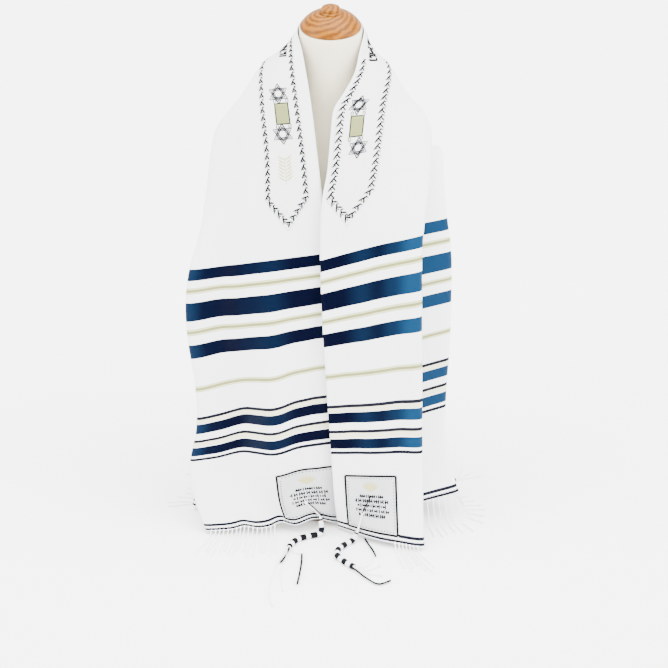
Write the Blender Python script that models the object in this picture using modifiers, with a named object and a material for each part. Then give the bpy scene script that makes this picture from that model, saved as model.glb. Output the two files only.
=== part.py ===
# Striped prayer shawl with a neckband, fringe and corner tassels, worn by a limbless dress form
import math
import bpy
import bmesh
import numpy as np
from mathutils import Matrix, Vector

for item in list(bpy.data.objects):
    bpy.data.objects.remove(item)

body = bpy.data.collections.new("prayer_shawl")
bpy.context.scene.collection.children.link(body)
cutters = bpy.data.collections.new("cutters")
bpy.context.scene.collection.children.link(cutters)


# Helpers
def material(name, colour, roughness):
    made = bpy.data.materials.new(name)
    made.use_nodes = True
    shader = made.node_tree.nodes["Principled BSDF"]
    shader.inputs["Base Color"].default_value = (*colour, 1.0)
    shader.inputs["Roughness"].default_value = roughness
    return made


def add_mesh(name, points, faces, paint, group=body):
    mesh = bpy.data.meshes.new(name)
    mesh.from_pydata([tuple(p) for p in points], [], [tuple(f) for f in faces])
    mesh.materials.append(paint)
    piece = bpy.data.objects.new(name, mesh)
    group.objects.link(piece)
    face_out(piece)
    return piece


def face_out(piece):
    shape = bmesh.new()
    shape.from_mesh(piece.data)
    bmesh.ops.recalc_face_normals(shape, faces=shape.faces)
    shape.to_mesh(piece.data)
    shape.free()


def smooth_step(low, high, value):
    share = min(1.0, max(0.0, (value - low) / (high - low)))
    return share * share * (3 - 2 * share)


def spline(marks, values, wanted):
    slope = np.diff(values) / np.diff(marks)
    step = np.diff(marks)
    lean = np.zeros(len(marks))
    lean[1:-1] = (slope[:-1] * step[1:] + slope[1:] * step[:-1]) / (step[1:] + step[:-1])
    lean[0] = slope[0]
    lean[-1] = slope[-1]
    i = np.clip(np.searchsorted(marks, wanted, side="right") - 1, 0, len(marks) - 2)
    x = (wanted - marks[i]) / step[i]
    return (values[i] * (1 + 2 * x) * (1 - x) ** 2 + lean[i] * step[i] * x * (1 - x) ** 2
            + values[i + 1] * x * x * (3 - 2 * x) + lean[i + 1] * step[i] * x * x * (x - 1))


white_cloth = material("white_cloth", (0.90, 0.90, 0.88), 0.85)
satin = material("satin_band", (0.84, 0.84, 0.82), 0.55)
print_cloth = material("patch_cloth", (0.82, 0.82, 0.82), 0.60)
cord_white = material("white_cord", (0.88, 0.88, 0.86), 0.80)
jersey = material("cream_jersey", (0.88, 0.85, 0.78), 0.85)
wood = material("honey_wood", (0.72, 0.40, 0.16), 0.40)
steel = material("steel", (0.60, 0.60, 0.62), 0.30)


# Shawl: one woven rectangle, laid round the neck, over both shoulders and down to the floor in front
cloth_half_length = 0.915
cloth_wall = 0.002
fold_depth = 0.030
low_mark = 0.155
high_mark = 0.463

# Rails run along the cloth from the left hem over the back to the right hem: x, y, z
inner_edge = [
    (0.029, -0.102, 0.006), (0.020, -0.116, 0.100), (0.008, -0.122, 0.200), (0.002, -0.124, 0.330),
    (-0.003, -0.122, 0.470), (-0.012, -0.116, 0.560), (-0.020, -0.102, 0.629), (-0.030, -0.082, 0.704),
    (-0.042, -0.042, 0.765), (-0.0506, 0.000, 0.796), (-0.0358, 0.0358, 0.806), (0.000, 0.0502, 0.806),
    (0.0358, 0.0358, 0.806), (0.0506, 0.000, 0.796), (0.043, -0.038, 0.765), (0.036, -0.060, 0.740),
    (0.020, -0.082, 0.714), (0.005, -0.095, 0.692), (0.000, -0.106, 0.655), (-0.005, -0.117, 0.604),
    (-0.013, -0.128, 0.560), (-0.016, -0.134, 0.500), (-0.014, -0.136, 0.400), (-0.009, -0.136, 0.300),
    (-0.003, -0.135, 0.200), (0.002, -0.132, 0.120), (0.006, -0.128, 0.060), (0.012, -0.116, 0.006),
]
collar_line = [
    (-0.088, -0.128, 0.012), (-0.100, -0.124, 0.060), (-0.105, -0.124, 0.150), (-0.105, -0.126, 0.250),
    (-0.108, -0.126, 0.350), (-0.108, -0.124, 0.450), (-0.105, -0.112, 0.540), (-0.105, -0.084, 0.620),
    (-0.112, -0.045, 0.690), (-0.108, 0.000, 0.738), (-0.068, 0.055, 0.736), (0.000, 0.080, 0.712),
    (0.060, 0.058, 0.735), (0.096, 0.000, 0.732), (0.094, -0.045, 0.690), (0.086, -0.085, 0.625),
    (0.074, -0.115, 0.550), (0.066, -0.130, 0.470), (0.066, -0.136, 0.370), (0.070, -0.137, 0.270),
    (0.076, -0.136, 0.170), (0.080, -0.140, 0.085), (0.084, -0.170, 0.010),
]
outer_ridge = [
    (-0.205, -0.128, 0.006), (-0.223, -0.110, 0.050), (-0.231, -0.100, 0.105), (-0.217, -0.098, 0.180),
    (-0.216, -0.098, 0.250), (-0.225, -0.098, 0.330), (-0.226, -0.097, 0.390), (-0.218, -0.094, 0.445),
    (-0.204, -0.078, 0.490), (-0.192, -0.052, 0.540), (-0.186, -0.025, 0.600), (-0.176, 0.008, 0.645),
    (-0.140, 0.055, 0.660), (-0.080, 0.090, 0.628), (0.000, 0.104, 0.606), (0.075, 0.092, 0.635),
    (0.128, 0.052, 0.672), (0.152, 0.005, 0.652), (0.155, -0.040, 0.605), (0.146, -0.090, 0.555),
    (0.138, -0.122, 0.490), (0.139, -0.130, 0.407), (0.141, -0.130, 0.325), (0.144, -0.130, 0.223),
    (0.147, -0.137, 0.105), (0.149, -0.182, 0.007),
]
hidden_valley = [
    (-0.112, -0.090, 0.020), (-0.112, -0.086, 0.150), (-0.112, -0.084, 0.300), (-0.114, -0.080, 0.420),
    (-0.112, -0.062, 0.520), (-0.108, -0.034, 0.600), (-0.104, 0.010, 0.665), (-0.090, 0.060, 0.625),
    (-0.060, 0.098, 0.550), (0.000, 0.114, 0.492), (0.060, 0.100, 0.548), (0.092, 0.060, 0.638),
    (0.098, 0.005, 0.676), (0.080, -0.047, 0.620), (0.054, -0.085, 0.545), (0.036, -0.108, 0.450),
    (0.027, -0.114, 0.350), (0.025, -0.114, 0.220), (0.027, -0.113, 0.100), (0.034, -0.118, 0.022),
]
side_ridge = [
    (-0.235, -0.048, 0.008), (-0.214, -0.052, 0.100), (-0.203, -0.055, 0.200), (-0.203, -0.055, 0.300),
    (-0.200, -0.050, 0.400), (-0.192, -0.035, 0.480), (-0.184, -0.012, 0.550), (-0.176, 0.020, 0.595),
    (-0.145, 0.065, 0.560), (-0.085, 0.108, 0.445), (0.000, 0.124, 0.355), (0.085, 0.108, 0.450),
    (0.145, 0.062, 0.570), (0.172, 0.015, 0.612), (0.176, -0.020, 0.565), (0.180, -0.045, 0.519),
    (0.188, -0.058, 0.457), (0.190, -0.060, 0.382), (0.190, -0.060, 0.306), (0.187, -0.060, 0.220),
    (0.189, -0.060, 0.140), (0.200, -0.062, 0.085), (0.213, -0.070, 0.045),
]
outer_edge = [
    (-0.140, 0.028, 0.022), (-0.136, 0.030, 0.150), (-0.140, 0.028, 0.270), (-0.150, 0.030, 0.360),
    (-0.157, 0.037, 0.438), (-0.160, 0.061, 0.484), (-0.148, 0.094, 0.468), (-0.112, 0.117, 0.392),
    (-0.060, 0.130, 0.292), (0.000, 0.134, 0.246), (0.060, 0.130, 0.308), (0.108, 0.118, 0.402),
    (0.142, 0.098, 0.478), (0.158, 0.068, 0.506), (0.158, 0.042, 0.474), (0.150, 0.030, 0.400),
    (0.142, 0.028, 0.300), (0.138, 0.030, 0.150), (0.144, 0.028, 0.050),
]
# cloth width from the inner edge to the rail on the left and right,
# then length along the rail from the hem to the low and high wide stripes: left low, left high, right low, right high
rails = [
    (inner_edge, 0.000, 0.000, 0.168, 0.476, 0.154, 0.468),
    (collar_line, 0.114, 0.082, 0.146, 0.456, 0.156, 0.489),
    (outer_ridge, 0.232, 0.156, 0.130, 0.450, 0.164, 0.512),
    (hidden_valley, 0.342, 0.281, 0.140, 0.453, 0.165, 0.480),
    (side_ridge, 0.444, 0.450, 0.150, 0.456, 0.168, 0.474),
    (outer_edge, 0.560, 0.560, 0.144, 0.390, 0.150, 0.400),
]
# soft folds on the hanging ends: side, cloth width of its middle, spread, height out of the cloth,
# then the distances from the hem where it starts to fade and is gone
folds = [
    (-1, 0.150, 0.018, -0.009, 0.20, 0.36),
    (-1, 0.186, 0.016, 0.006, 0.16, 0.34),
    (-1, 0.180, 0.026, -0.010, 0.36, 0.60),
    (-1, 0.098, 0.024, 0.016, 0.20, 0.50),
    (-1, 0.106, 0.018, -0.020, 0.02, 0.12),
    (-1, 0.150, 0.018, 0.012, 0.02, 0.10),
    (-1, 0.060, 0.022, 0.005, 0.03, 0.09),
    (-1, 0.500, 0.030, 0.008, 0.24, 0.42),
    (1, 0.118, 0.020, -0.004, 0.30, 0.52),
    (1, 0.365, 0.040, 0.007, 0.30, 0.60),
    (1, 0.505, 0.028, 0.008, 0.24, 0.42),
]


# places where the hem stands up off the floor: side, cloth width of its middle, spread, height, how far up it fades
hem_arches = [
    (-1, 0.058, 0.026, 0.014, 0.075),
    (-1, 0.105, 0.014, 0.006, 0.050),
    (-1, 0.165, 0.014, 0.004, 0.050),
]


def rail_line(table, left_low, left_high, right_low, right_high):
    marks = np.array(table, float)
    gaps = np.sqrt(np.linalg.norm(np.diff(marks, axis=0), axis=1))
    stops = np.concatenate([[0.0], np.cumsum(gaps)])
    wanted = np.concatenate([np.linspace(a, b, 24, endpoint=False) for a, b in zip(stops, stops[1:])] + [stops[-1:]])
    line = np.stack([spline(stops, marks[:, k], wanted) for k in range(3)], axis=1)
    run = np.concatenate([[0.0], np.cumsum(np.linalg.norm(np.diff(line, axis=0), axis=1))])
    middle = 24 * [i for i, p in enumerate(table) if p[0] == 0.0 and p[1] > 0][0]
    length_marks = np.array([0.0, low_mark, high_mark, cloth_half_length])
    left_marks = np.array([0.0, left_low, left_high, run[middle]])
    right_marks = np.array([0.0, right_low, right_high, run[-1] - run[middle]])
    left = spline(left_marks, length_marks, run[:middle]) - cloth_half_length
    right = cloth_half_length - spline(right_marks, length_marks, run[-1] - run[middle:])
    return np.concatenate([left, right]), line


rail_lines = [rail_line(row[0], *row[3:]) for row in rails]


def cross_line(along):
    # one line across the cloth at a place along it: cloth width and point at close steps
    posts = [np.array([np.interp(along, where, line[:, k]) for k in range(3)]) for where, line in rail_lines]
    side = smooth_step(-0.2, 0.2, along)
    widths = [row[1] * (1 - side) + row[2] * side for row in rails]
    folded = smooth_step(0.09, 0.26, abs(along))
    turn = -1.2 * (1 - smooth_step(0.10, 0.22, abs(along))) + 1.57 * smooth_step(0.24, 0.38, abs(along))
    inward = np.array([0.0, math.sin(turn), -math.cos(turn)])
    runs = [(b - a) / (w - v) for a, b, v, w in zip(posts, posts[1:], widths, widths[1:])]
    turns = [runs[0]]
    for k in range(1, 5):
        before = widths[k] - widths[k - 1]
        after = widths[k + 1] - widths[k]
        through = (runs[k - 1] * after + runs[k] * before) / (before + after)
        turns.append(through if k == 1 else through * (1 - folded))
    turns.append(runs[4])
    share = np.linspace(0, 1, 33)[:, None]
    across = []
    points = []
    for k in range(5):
        step = widths[k + 1] - widths[k]
        start = turns[k] * step + (inward * fold_depth * folded if k > 1 else 0)
        end = turns[k + 1] * step + (inward * fold_depth * folded if 0 < k < 4 else 0)
        bend = (posts[k] * (1 + 2 * share) * (1 - share) ** 2 + start * share * (1 - share) ** 2
                + posts[k + 1] * share ** 2 * (3 - 2 * share) + end * share ** 2 * (share - 1))
        run = np.concatenate([[0.0], np.cumsum(np.linalg.norm(np.diff(bend, axis=0), axis=1))])
        across.append((widths[k] + step * run / run[-1])[:None if k == 4 else -1])
        points.append(bend[:None if k == 4 else -1])
    return np.concatenate(across), np.concatenate(points)


def cloth_grid(places, left_widths, right_widths):
    # points and outward directions of the middle of the cloth
    points = np.zeros((len(places), len(left_widths), 3))
    across = np.zeros((len(places), len(left_widths)))
    for i, along in enumerate(places):
        width, line = cross_line(along)
        side = smooth_step(-0.2, 0.2, along)
        across[i] = [a * (1 - side) + b * side for a, b in zip(left_widths, right_widths)]
        points[i] = np.stack([np.interp(across[i], width, line[:, k]) for k in range(3)], axis=1)
    out = outward(points)
    for i, along in enumerate(places):
        from_hem = cloth_half_length - abs(along)
        for side, middle, spread, height, near, far in folds:
            if side * along > 0:
                fade = 1 - smooth_step(near, far, from_hem)
                swell = height * fade * np.exp(-((across[i] - middle) / spread) ** 2)
                points[i] += out[i] * swell[:, None]
        for side, middle, spread, height, fade in hem_arches:
            if side * along > 0:
                lift = height * (1 - smooth_step(0, fade, from_hem))
                points[i, :, 2] += lift * np.exp(-((across[i] - middle) / spread) ** 2)
    return points, outward(points)


def outward(points):
    lengthwise = np.gradient(points, axis=0)
    crosswise = np.gradient(points, axis=1)
    out = np.cross(lengthwise, crosswise)
    return out / np.linalg.norm(out, axis=2, keepdims=True)


def shell(name, points, out, low, high, paint):
    # closed sheet between two distances from the middle of the cloth
    rows, columns = points.shape[:2]
    count = rows * columns
    corners = list((points + out * high).reshape(-1, 3)) + list((points + out * low).reshape(-1, 3))
    faces = []
    for i in range(rows - 1):
        for j in range(columns - 1):
            a, b = i * columns + j, i * columns + j + 1
            c, d = a + columns, b + columns
            faces += [(a, b, d), (a, d, c), (count + a, count + d, count + b), (count + a, count + c, count + d)]
    border = [j for j in range(columns)] + [i * columns + columns - 1 for i in range(1, rows)]
    border += [(rows - 1) * columns + j for j in range(columns - 2, -1, -1)]
    border += [i * columns for i in range(rows - 2, 0, -1)]
    for a, b in zip(border, border[1:] + border[:1]):
        faces += [(a, count + a, count + b), (a, count + b, b)]
    return add_mesh(name, corners, faces, paint)


# places along the cloth: close rows round the neck, wider ones down the hanging ends
from_hem_rows = [0.0, 0.010, 0.042, 0.075, 0.108] + [0.130 + 0.030 * k for k in range(13)] + [0.505]
from_hem_rows += [0.520 + 0.030 * k for k in range(9)] + [0.776 + 0.0155 * k for k in range(9)]
from_hem_rows = sorted(from_hem_rows)
places = [d - cloth_half_length for d in from_hem_rows] + [0.0]
places += [cloth_half_length - d for d in reversed(from_hem_rows)]
left_columns = [0, 0.010, 0.036, 0.062, 0.088, 0.100, 0.126, 0.152, 0.178, 0.203, 0.222, 0.232, 0.242,
                0.270, 0.300, 0.328, 0.342, 0.356, 0.392, 0.428, 0.444, 0.460, 0.490, 0.520, 0.550, 0.560]
right_columns = [0, 0.020, 0.042, 0.065, 0.088, 0.110, 0.118, 0.126, 0.136, 0.144, 0.151, 0.156, 0.162,
                 0.190, 0.225, 0.262, 0.281, 0.299, 0.340, 0.390, 0.440, 0.460, 0.490, 0.520, 0.550, 0.560]
cloth_points, cloth_out = cloth_grid(places, left_columns, right_columns)
shell("shawl", cloth_points, cloth_out, -cloth_wall / 2, cloth_wall / 2, white_cloth)


# Neckband: satin strip sewn along the inner edge, ending in a point on each side
seam_gap = 0.0003
band_wall = 0.0012
band_low = cloth_wall / 2 + seam_gap
band_rows = [i for i, along in enumerate(places) if cloth_half_length - abs(along) > 0.5049]
band_points = []
band_out = []
for i in band_rows:
    from_hem = cloth_half_length - abs(places[i])
    side = smooth_step(-0.2, 0.2, places[i])
    middle = 0.064 * (1 - side) + 0.038 * side
    half = 0.041 * (1 - side) + 0.033 * side
    if from_hem < 0.51:
        half *= 0.10
    elif from_hem < 0.53:
        half *= 0.43
    wanted = [middle + half * share for share in np.linspace(-1, 1, 9)]
    across = [a * (1 - side) + b * side for a, b in zip(left_columns, right_columns)]
    band_points.append([[np.interp(w, across, cloth_points[i, :, k]) for k in range(3)] for w in wanted])
    band_out.append([[np.interp(w, across, cloth_out[i, :, k]) for k in range(3)] for w in wanted])
    extra = 0.0010 if from_hem < 0.56 or from_hem > 0.74 else 0.0006
    band_points[-1] = list(np.array(band_points[-1]) + np.array(band_out[-1]) * extra)
shell("neckband", np.array(band_points), np.array(band_out), band_low, band_low + band_wall, satin)


# Corner patches: a piece of satin sewn on each corner, 9 cm wide and 10 cm high
def patch(name, row_range, column_range):
    rows = slice(*row_range)
    columns = slice(*column_range)
    points = cloth_points[rows, columns]
    shell(name, points, cloth_out[rows, columns], band_low, band_low + band_wall, print_cloth)


last = len(places)
patch("patch_left_inner", (1, 5), (1, 6))
patch("patch_left_outer", (1, 5), (21, 25))
patch("patch_right_inner", (last - 5, last - 1), (1, 6))
patch("patch_right_outer", (last - 5, last - 1), (21, 25))


# Fringe: a narrow strip outside each hem with loose strands that lie out over the floor
strand_radius = 0.0009
strip_height = 0.004
strip_wall = 0.0016


def tube(path, radii, sides, name, paint, group=body):
    # closed tube along a path, with a flat cap at each end
    path = [Vector(p) for p in path]
    rings = []
    across = (path[1] - path[0]).cross(Vector((0, 0, 1)))
    for i, p in enumerate(path):
        heading = (path[min(i + 1, len(path) - 1)] - path[max(i - 1, 0)]).normalized()
        across = (across - heading * across.dot(heading)).normalized()
        upward = across.cross(heading)
        angles = [2 * math.pi * k / sides + math.pi / 2 for k in range(sides)]
        rings.append([p + (across * math.cos(a) + upward * math.sin(a)) * radii[i] for a in angles])
    points = [q for ring in rings for q in ring]
    faces = []
    for i in range(len(rings) - 1):
        for k in range(sides):
            a, b = i * sides + k, i * sides + (k + 1) % sides
            faces.append((a, b, b + sides, a + sides))
    faces.append(tuple(range(sides))[::-1])
    faces.append(tuple(len(points) - sides + k for k in range(sides)))
    return add_mesh(name, points, faces, paint, group)


def join(pieces, name):
    first = pieces[0]
    shape = bmesh.new()
    for piece in pieces:
        shape.from_mesh(piece.data)
    shape.to_mesh(first.data)
    shape.free()
    for piece in pieces[1:]:
        bpy.data.objects.remove(piece)
    first.name = name
    return first


def fuse(piece, other):
    union = piece.modifiers.new("fuse", "BOOLEAN")
    union.operation = "UNION"
    union.solver = "EXACT"
    union.object = other
    other.hide_render = True


def fringe(name, row, next_row, low_width, high_width, first, step, count, heading, length):
    # one closed mesh: a strip along the hem, with a strand drawn out of its outer face at even steps
    widths = left_columns if row == 0 else right_columns
    roots = [(first + step * k - 0.0011, first + step * k + 0.0011) for k in range(count)]
    stops = [low_width, high_width] + [w for pair in roots for w in pair]
    for w in widths:
        if low_width < w < high_width and all(w < a - 0.0008 or w > b + 0.0008 for a, b in roots):
            stops.append(w)
    stops = sorted(stops)

    def hem_at(width, values):
        return np.array([np.interp(width, widths, values[:, j]) for j in range(3)])

    rise = (cloth_points[next_row] - cloth_points[row]) / 0.010
    low = cloth_wall / 2 + seam_gap
    points = []
    for w in stops:
        hem = hem_at(w, cloth_points[row])
        up = hem_at(w, rise)
        away = hem_at(w, cloth_out[row])
        points += [hem + up * 0.0006 + away * low, hem + up * strip_height + away * low]
        points += [hem + up * strip_height + away * (low + strip_wall), hem + up * 0.0006 + away * (low + strip_wall)]
    faces = [(0, 1, 2, 3), tuple(len(points) - 4 + k for k in (3, 2, 1, 0))]
    for i in range(len(stops) - 1):
        a, b = 4 * i, 4 * i + 4
        faces += [(a, b, b + 1, a + 1), (a + 1, b + 1, b + 2, a + 2), (a, a + 3, b + 3, b)]
        if (stops[i], stops[i + 1]) not in roots:
            faces.append((a + 2, b + 2, b + 3, a + 3))
            continue
        k = roots.index((stops[i], stops[i + 1]))
        turn = np.interp(first + step * k, [h[0] for h in heading], [h[1] for h in heading])
        angle = math.radians(turn + 1.2 * math.sin(k * 2.4))
        flat = np.array([math.cos(angle), math.sin(angle), 0.0])
        reach = length * (0.85 + 0.15 * math.sin(k * 1.7))
        sway = np.array([-flat[1], flat[0], 0.0]) * 0.0012 * math.sin(k * 3.1)
        ring = [a + 3, b + 3, b + 2, a + 2]
        start = sum(points[q] for q in ring) / 4
        away = hem_at(stops[i], cloth_out[row])
        along = points[b + 3] - points[a + 3]
        drop = start[2] - 0.0020
        landed = start + away * 0.003 + flat * (0.007 + 0.4 * drop)
        landed[2] = 0.0020
        path = [start + away * 0.0030, landed]
        path += [landed + flat * reach * 0.5 + sway, landed + flat * reach]
        radii = [strand_radius, strand_radius, strand_radius, strand_radius * 0.7]
        before = start
        hand = np.sign(np.dot(np.cross(along, away), points[a + 2] - points[a + 3]))
        for centre, radius in zip(path, radii):
            forward = (centre - before) / np.linalg.norm(centre - before)
            side = along - forward * np.dot(along, forward)
            side = side / np.linalg.norm(side)
            upright = np.cross(side, forward) * hand
            count_now = len(points)
            points += [centre - side * radius - upright * radius, centre + side * radius - upright * radius]
            points += [centre + side * radius + upright * radius, centre - side * radius + upright * radius]
            fresh = [count_now + q for q in range(4)]
            faces += [(ring[q], ring[(q + 1) % 4], fresh[(q + 1) % 4], fresh[q]) for q in range(4)]
            ring = fresh
            before = centre
        faces.append(tuple(ring))
    add_mesh(name, points, faces, cord_white)


end = last - 1
fringe("fringe_left_front", 0, 1, 0.112, 0.226, 0.118, 0.0068, 16, [(0.10, -86), (0.22, -106)], 0.060)
fringe("fringe_left_side", 0, 1, 0.455, 0.557, 0.463, 0.0095, 5, [(0.46, -165), (0.50, -205), (0.56, -230)], 0.050)
fringe("fringe_right_front", end, end - 1, 0.100, 0.147, 0.103, 0.0066, 7, [(0.10, -80), (0.15, -62)], 0.060)
fringe("fringe_right_side", end, end - 1, 0.394, 0.557, 0.398, 0.0090, 12,
       [(0.39, -82), (0.44, -66), (0.465, -10), (0.50, 25), (0.56, 45)], 0.030)


# Corner tassels: a wound cord from the patch to the floor, then loose strands
cord_radius = 0.0042
cord_rest = 0.0046


def tassel(name, first_points, floor_points, strand_ends):
    # first points lie over the patch, the rest on the floor
    path = [Vector(p) for p in first_points] + [Vector((x, y, cord_rest)) for x, y in floor_points]
    radii = [0.0016] + [0.0022] * (len(first_points) - 1) + [cord_radius] * len(floor_points)
    head = tube(path, radii, 8, name, cord_white)
    last_point = path[-1]
    back = (path[-2] - path[-1]).normalized()
    strands = []
    for k, ends in enumerate(strand_ends):
        aside = back.cross(Vector((0, 0, 1))) * (0.0022 * (k - (len(strand_ends) - 1) / 2))
        start = last_point + back * 0.004 + aside
        line = [start, last_point - back * 0.003 + aside]
        line += [Vector((x, y, 0.0022)) for x, y in ends]
        strands.append(tube(line, [0.0009] * len(line), 3, f"{name}_strand_{k}", cord_white, cutters))
    fuse(head, join(strands, name + "_strands"))


def over_cloth(along_row, width, rise):
    widths = left_columns if places[along_row] < 0 else right_columns
    spot = [np.interp(width, widths, cloth_points[along_row, :, k]) for k in range(3)]
    out = [np.interp(width, widths, cloth_out[along_row, :, k]) for k in range(3)]
    return tuple(np.array(spot) + np.array(out) * rise)


tassel("tassel_left_inner",
       [over_cloth(2, 0.062, 0.0050), over_cloth(1, 0.047, 0.0080)],
       [(-0.018, -0.138), (-0.034, -0.144), (-0.050, -0.152), (-0.061, -0.164), (-0.067, -0.180)],
       [[(-0.074, -0.200), (-0.086, -0.250), (-0.080, -0.330)],
        [(-0.067, -0.205), (-0.075, -0.255), (-0.068, -0.300)],
        [(-0.060, -0.205), (-0.058, -0.255)],
        [(-0.048, -0.200), (-0.042, -0.262)]])
tassel("tassel_right_inner",
       [over_cloth(end - 2, 0.050, 0.0060), over_cloth(end - 1, 0.042, 0.0085)],
       [(0.034, -0.160), (0.022, -0.172), (0.012, -0.187), (0.010, -0.204), (0.021, -0.223), (0.036, -0.240)],
       [[(0.054, -0.268), (0.074, -0.286), (0.092, -0.276)],
        [(0.056, -0.256), (0.080, -0.262)],
        [(0.058, -0.246), (0.078, -0.232)],
        [(0.056, -0.234), (0.068, -0.204)]])
tassel("tassel_left_outer",
       [over_cloth(2, 0.520, 0.0045), over_cloth(1, 0.526, 0.0075)],
       [(-0.176, 0.034), (-0.196, 0.042), (-0.214, 0.056)],
       [[(-0.224, 0.090), (-0.236, 0.112)],
        [(-0.232, 0.082), (-0.252, 0.098)],
        [(-0.236, 0.072), (-0.262, 0.080)]])
tassel("tassel_right_outer",
       [over_cloth(end - 2, 0.520, 0.0045), over_cloth(end - 1, 0.526, 0.0075)],
       [(0.184, 0.026), (0.204, 0.036), (0.220, 0.052)],
       [[(0.246, 0.062), (0.270, 0.072)],
        [(0.240, 0.072), (0.256, 0.090)],
        [(0.230, 0.078), (0.238, 0.102)]])


# Dress form: a smooth limbless torso with a neck cut off at a forward slope
cap_tilt = math.radians(17)
ring_sides = 40
# height, half width, half depth, shift to the back, share of the neck's slope
torso_rings = [
    (0.300, 0.104, 0.078, 0.004, 0.0), (0.304, 0.110, 0.084, 0.004, 0.0), (0.360, 0.118, 0.086, 0.004, 0.0),
    (0.450, 0.126, 0.085, 0.004, 0.0), (0.520, 0.129, 0.082, 0.004, 0.0), (0.565, 0.126, 0.076, 0.004, 0.0),
    (0.598, 0.116, 0.068, 0.004, 0.0), (0.622, 0.103, 0.061, 0.004, 0.0), (0.642, 0.088, 0.056, 0.003, 0.0),
    (0.662, 0.072, 0.052, 0.002, 0.1), (0.684, 0.058, 0.0495, 0.001, 0.2), (0.706, 0.0500, 0.0485, 0.0, 0.4),
    (0.740, 0.0478, 0.0474, 0.0, 0.7), (0.775, 0.0480, 0.0480, 0.0, 0.95), (0.7975, 0.0480, 0.0480, 0.0, 1.0),
]
points = []
for height, half_width, half_depth, shift, slope in torso_rings:
    for k in range(ring_sides):
        angle = 2 * math.pi * k / ring_sides
        y = half_depth * math.sin(angle)
        rise = y * math.tan(cap_tilt) * slope
        points.append((half_width * math.cos(angle), y + shift, height + rise))
faces = []
for i in range(len(torso_rings) - 1):
    for k in range(ring_sides):
        a, b = i * ring_sides + k, i * ring_sides + (k + 1) % ring_sides
        faces.append((a, b, b + ring_sides, a + ring_sides))
faces.append(tuple(range(ring_sides))[::-1])
faces.append(tuple(len(points) - ring_sides + k for k in range(ring_sides)))
add_mesh("form_torso", points, faces, jersey)


def turned(name, profile, paint, steps=48):
    # profile: radius and height from the bottom of the axis to its top
    mesh = bpy.data.meshes.new(name)
    mesh.from_pydata([(r, 0, z) for r, z in profile], [(i, i + 1) for i in range(len(profile) - 1)], [])
    mesh.materials.append(paint)
    piece = bpy.data.objects.new(name, mesh)
    body.objects.link(piece)
    spin = piece.modifiers.new("turn", "SCREW")
    spin.angle = 2 * math.pi
    spin.steps = steps
    spin.render_steps = steps
    spin.use_merge_vertices = True
    spin.merge_threshold = 0.0001
    spin.use_smooth_shade = False
    return piece


# Neck cap: turned wood, a low dome with a flat button on it
cap_profile = [
    (0.0, 0.0335), (0.009, 0.0335), (0.0125, 0.0325), (0.0145, 0.030), (0.0145, 0.0275), (0.0165, 0.0262),
    (0.0168, 0.0246), (0.0165, 0.0235), (0.024, 0.0222), (0.032, 0.0180), (0.039, 0.0125), (0.044, 0.0072),
    (0.0462, 0.0042), (0.0466, 0.0020), (0.0460, 0.0), (0.0, 0.0),
]
cap = turned("neck_cap", cap_profile, wood)
neck_top = Vector((0, 0, 0.7975))
cap_up = Vector((0, -math.sin(cap_tilt), math.cos(cap_tilt)))
cap.matrix_world = Matrix.Translation(neck_top + cap_up * 0.0003) @ Matrix.Rotation(cap_tilt, 4, "X")

# Pole and round foot under the torso
foot_profile = [
    (0.0, 0.018), (0.018, 0.018), (0.080, 0.015), (0.089, 0.0125), (0.092, 0.009), (0.092, 0.0025),
    (0.0895, 0.0), (0.0, 0.0),
]
turned("foot", foot_profile, wood)
pole_radius = 0.0125
pole_low = 0.0183
pole_high = 0.2997
turned("pole", [(0.0, pole_high), (pole_radius, pole_high), (pole_radius, pole_low), (0.0, pole_low)], steel, 32)
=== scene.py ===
import math
import bpy
import numpy as np
from mathutils import Matrix, Vector


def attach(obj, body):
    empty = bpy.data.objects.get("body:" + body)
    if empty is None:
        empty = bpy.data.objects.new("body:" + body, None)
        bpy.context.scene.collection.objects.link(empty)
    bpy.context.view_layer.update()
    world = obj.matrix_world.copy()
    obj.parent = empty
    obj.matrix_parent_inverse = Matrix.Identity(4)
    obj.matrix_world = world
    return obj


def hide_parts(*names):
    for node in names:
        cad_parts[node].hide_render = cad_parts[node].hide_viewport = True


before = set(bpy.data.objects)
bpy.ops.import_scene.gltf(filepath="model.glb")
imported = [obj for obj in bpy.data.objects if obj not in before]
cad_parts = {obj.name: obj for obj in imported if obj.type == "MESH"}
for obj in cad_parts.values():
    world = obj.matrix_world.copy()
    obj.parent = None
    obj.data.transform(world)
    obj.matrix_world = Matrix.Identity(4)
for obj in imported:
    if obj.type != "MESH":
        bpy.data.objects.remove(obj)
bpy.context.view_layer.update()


# Camera
# A lens of middle length in front of the form, a little above its cap, looking down at the cloth.
camera_data = bpy.data.cameras.new("camera")
camera_data.lens = 68.2
camera_data.sensor_width = 36
camera = bpy.data.objects.new("camera", camera_data)
bpy.context.scene.collection.objects.link(camera)
camera.location = (0.005, -1.95, 1.05)
degrees_down = 21
camera.rotation_euler = (math.radians(90 - degrees_down), 0, 0)
bpy.context.scene.camera = camera


# Floor and studio light
# A white painted floor, a soft lamp on each side and one above, and a pale room round them.
def set_inputs(tree, node, inputs):
    # each input, by name or number, gets a value or the socket of another node to read
    for name, value in inputs.items():
        if isinstance(value, bpy.types.NodeSocket):
            tree.links.new(value, node.inputs[name])
        else:
            node.inputs[name].default_value = value


def new_node(tree, kind, inputs):
    made = tree.nodes.new(kind)
    set_inputs(tree, made, inputs)
    return made


def new_material(name, colour, roughness, others=()):
    made = bpy.data.materials.new(name)
    made.use_nodes = True
    shader = made.node_tree.nodes["Principled BSDF"]
    set_inputs(made.node_tree, shader, {"Base Color": (*colour, 1), "Roughness": roughness, **dict(others)})
    return made, made.node_tree, shader


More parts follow.
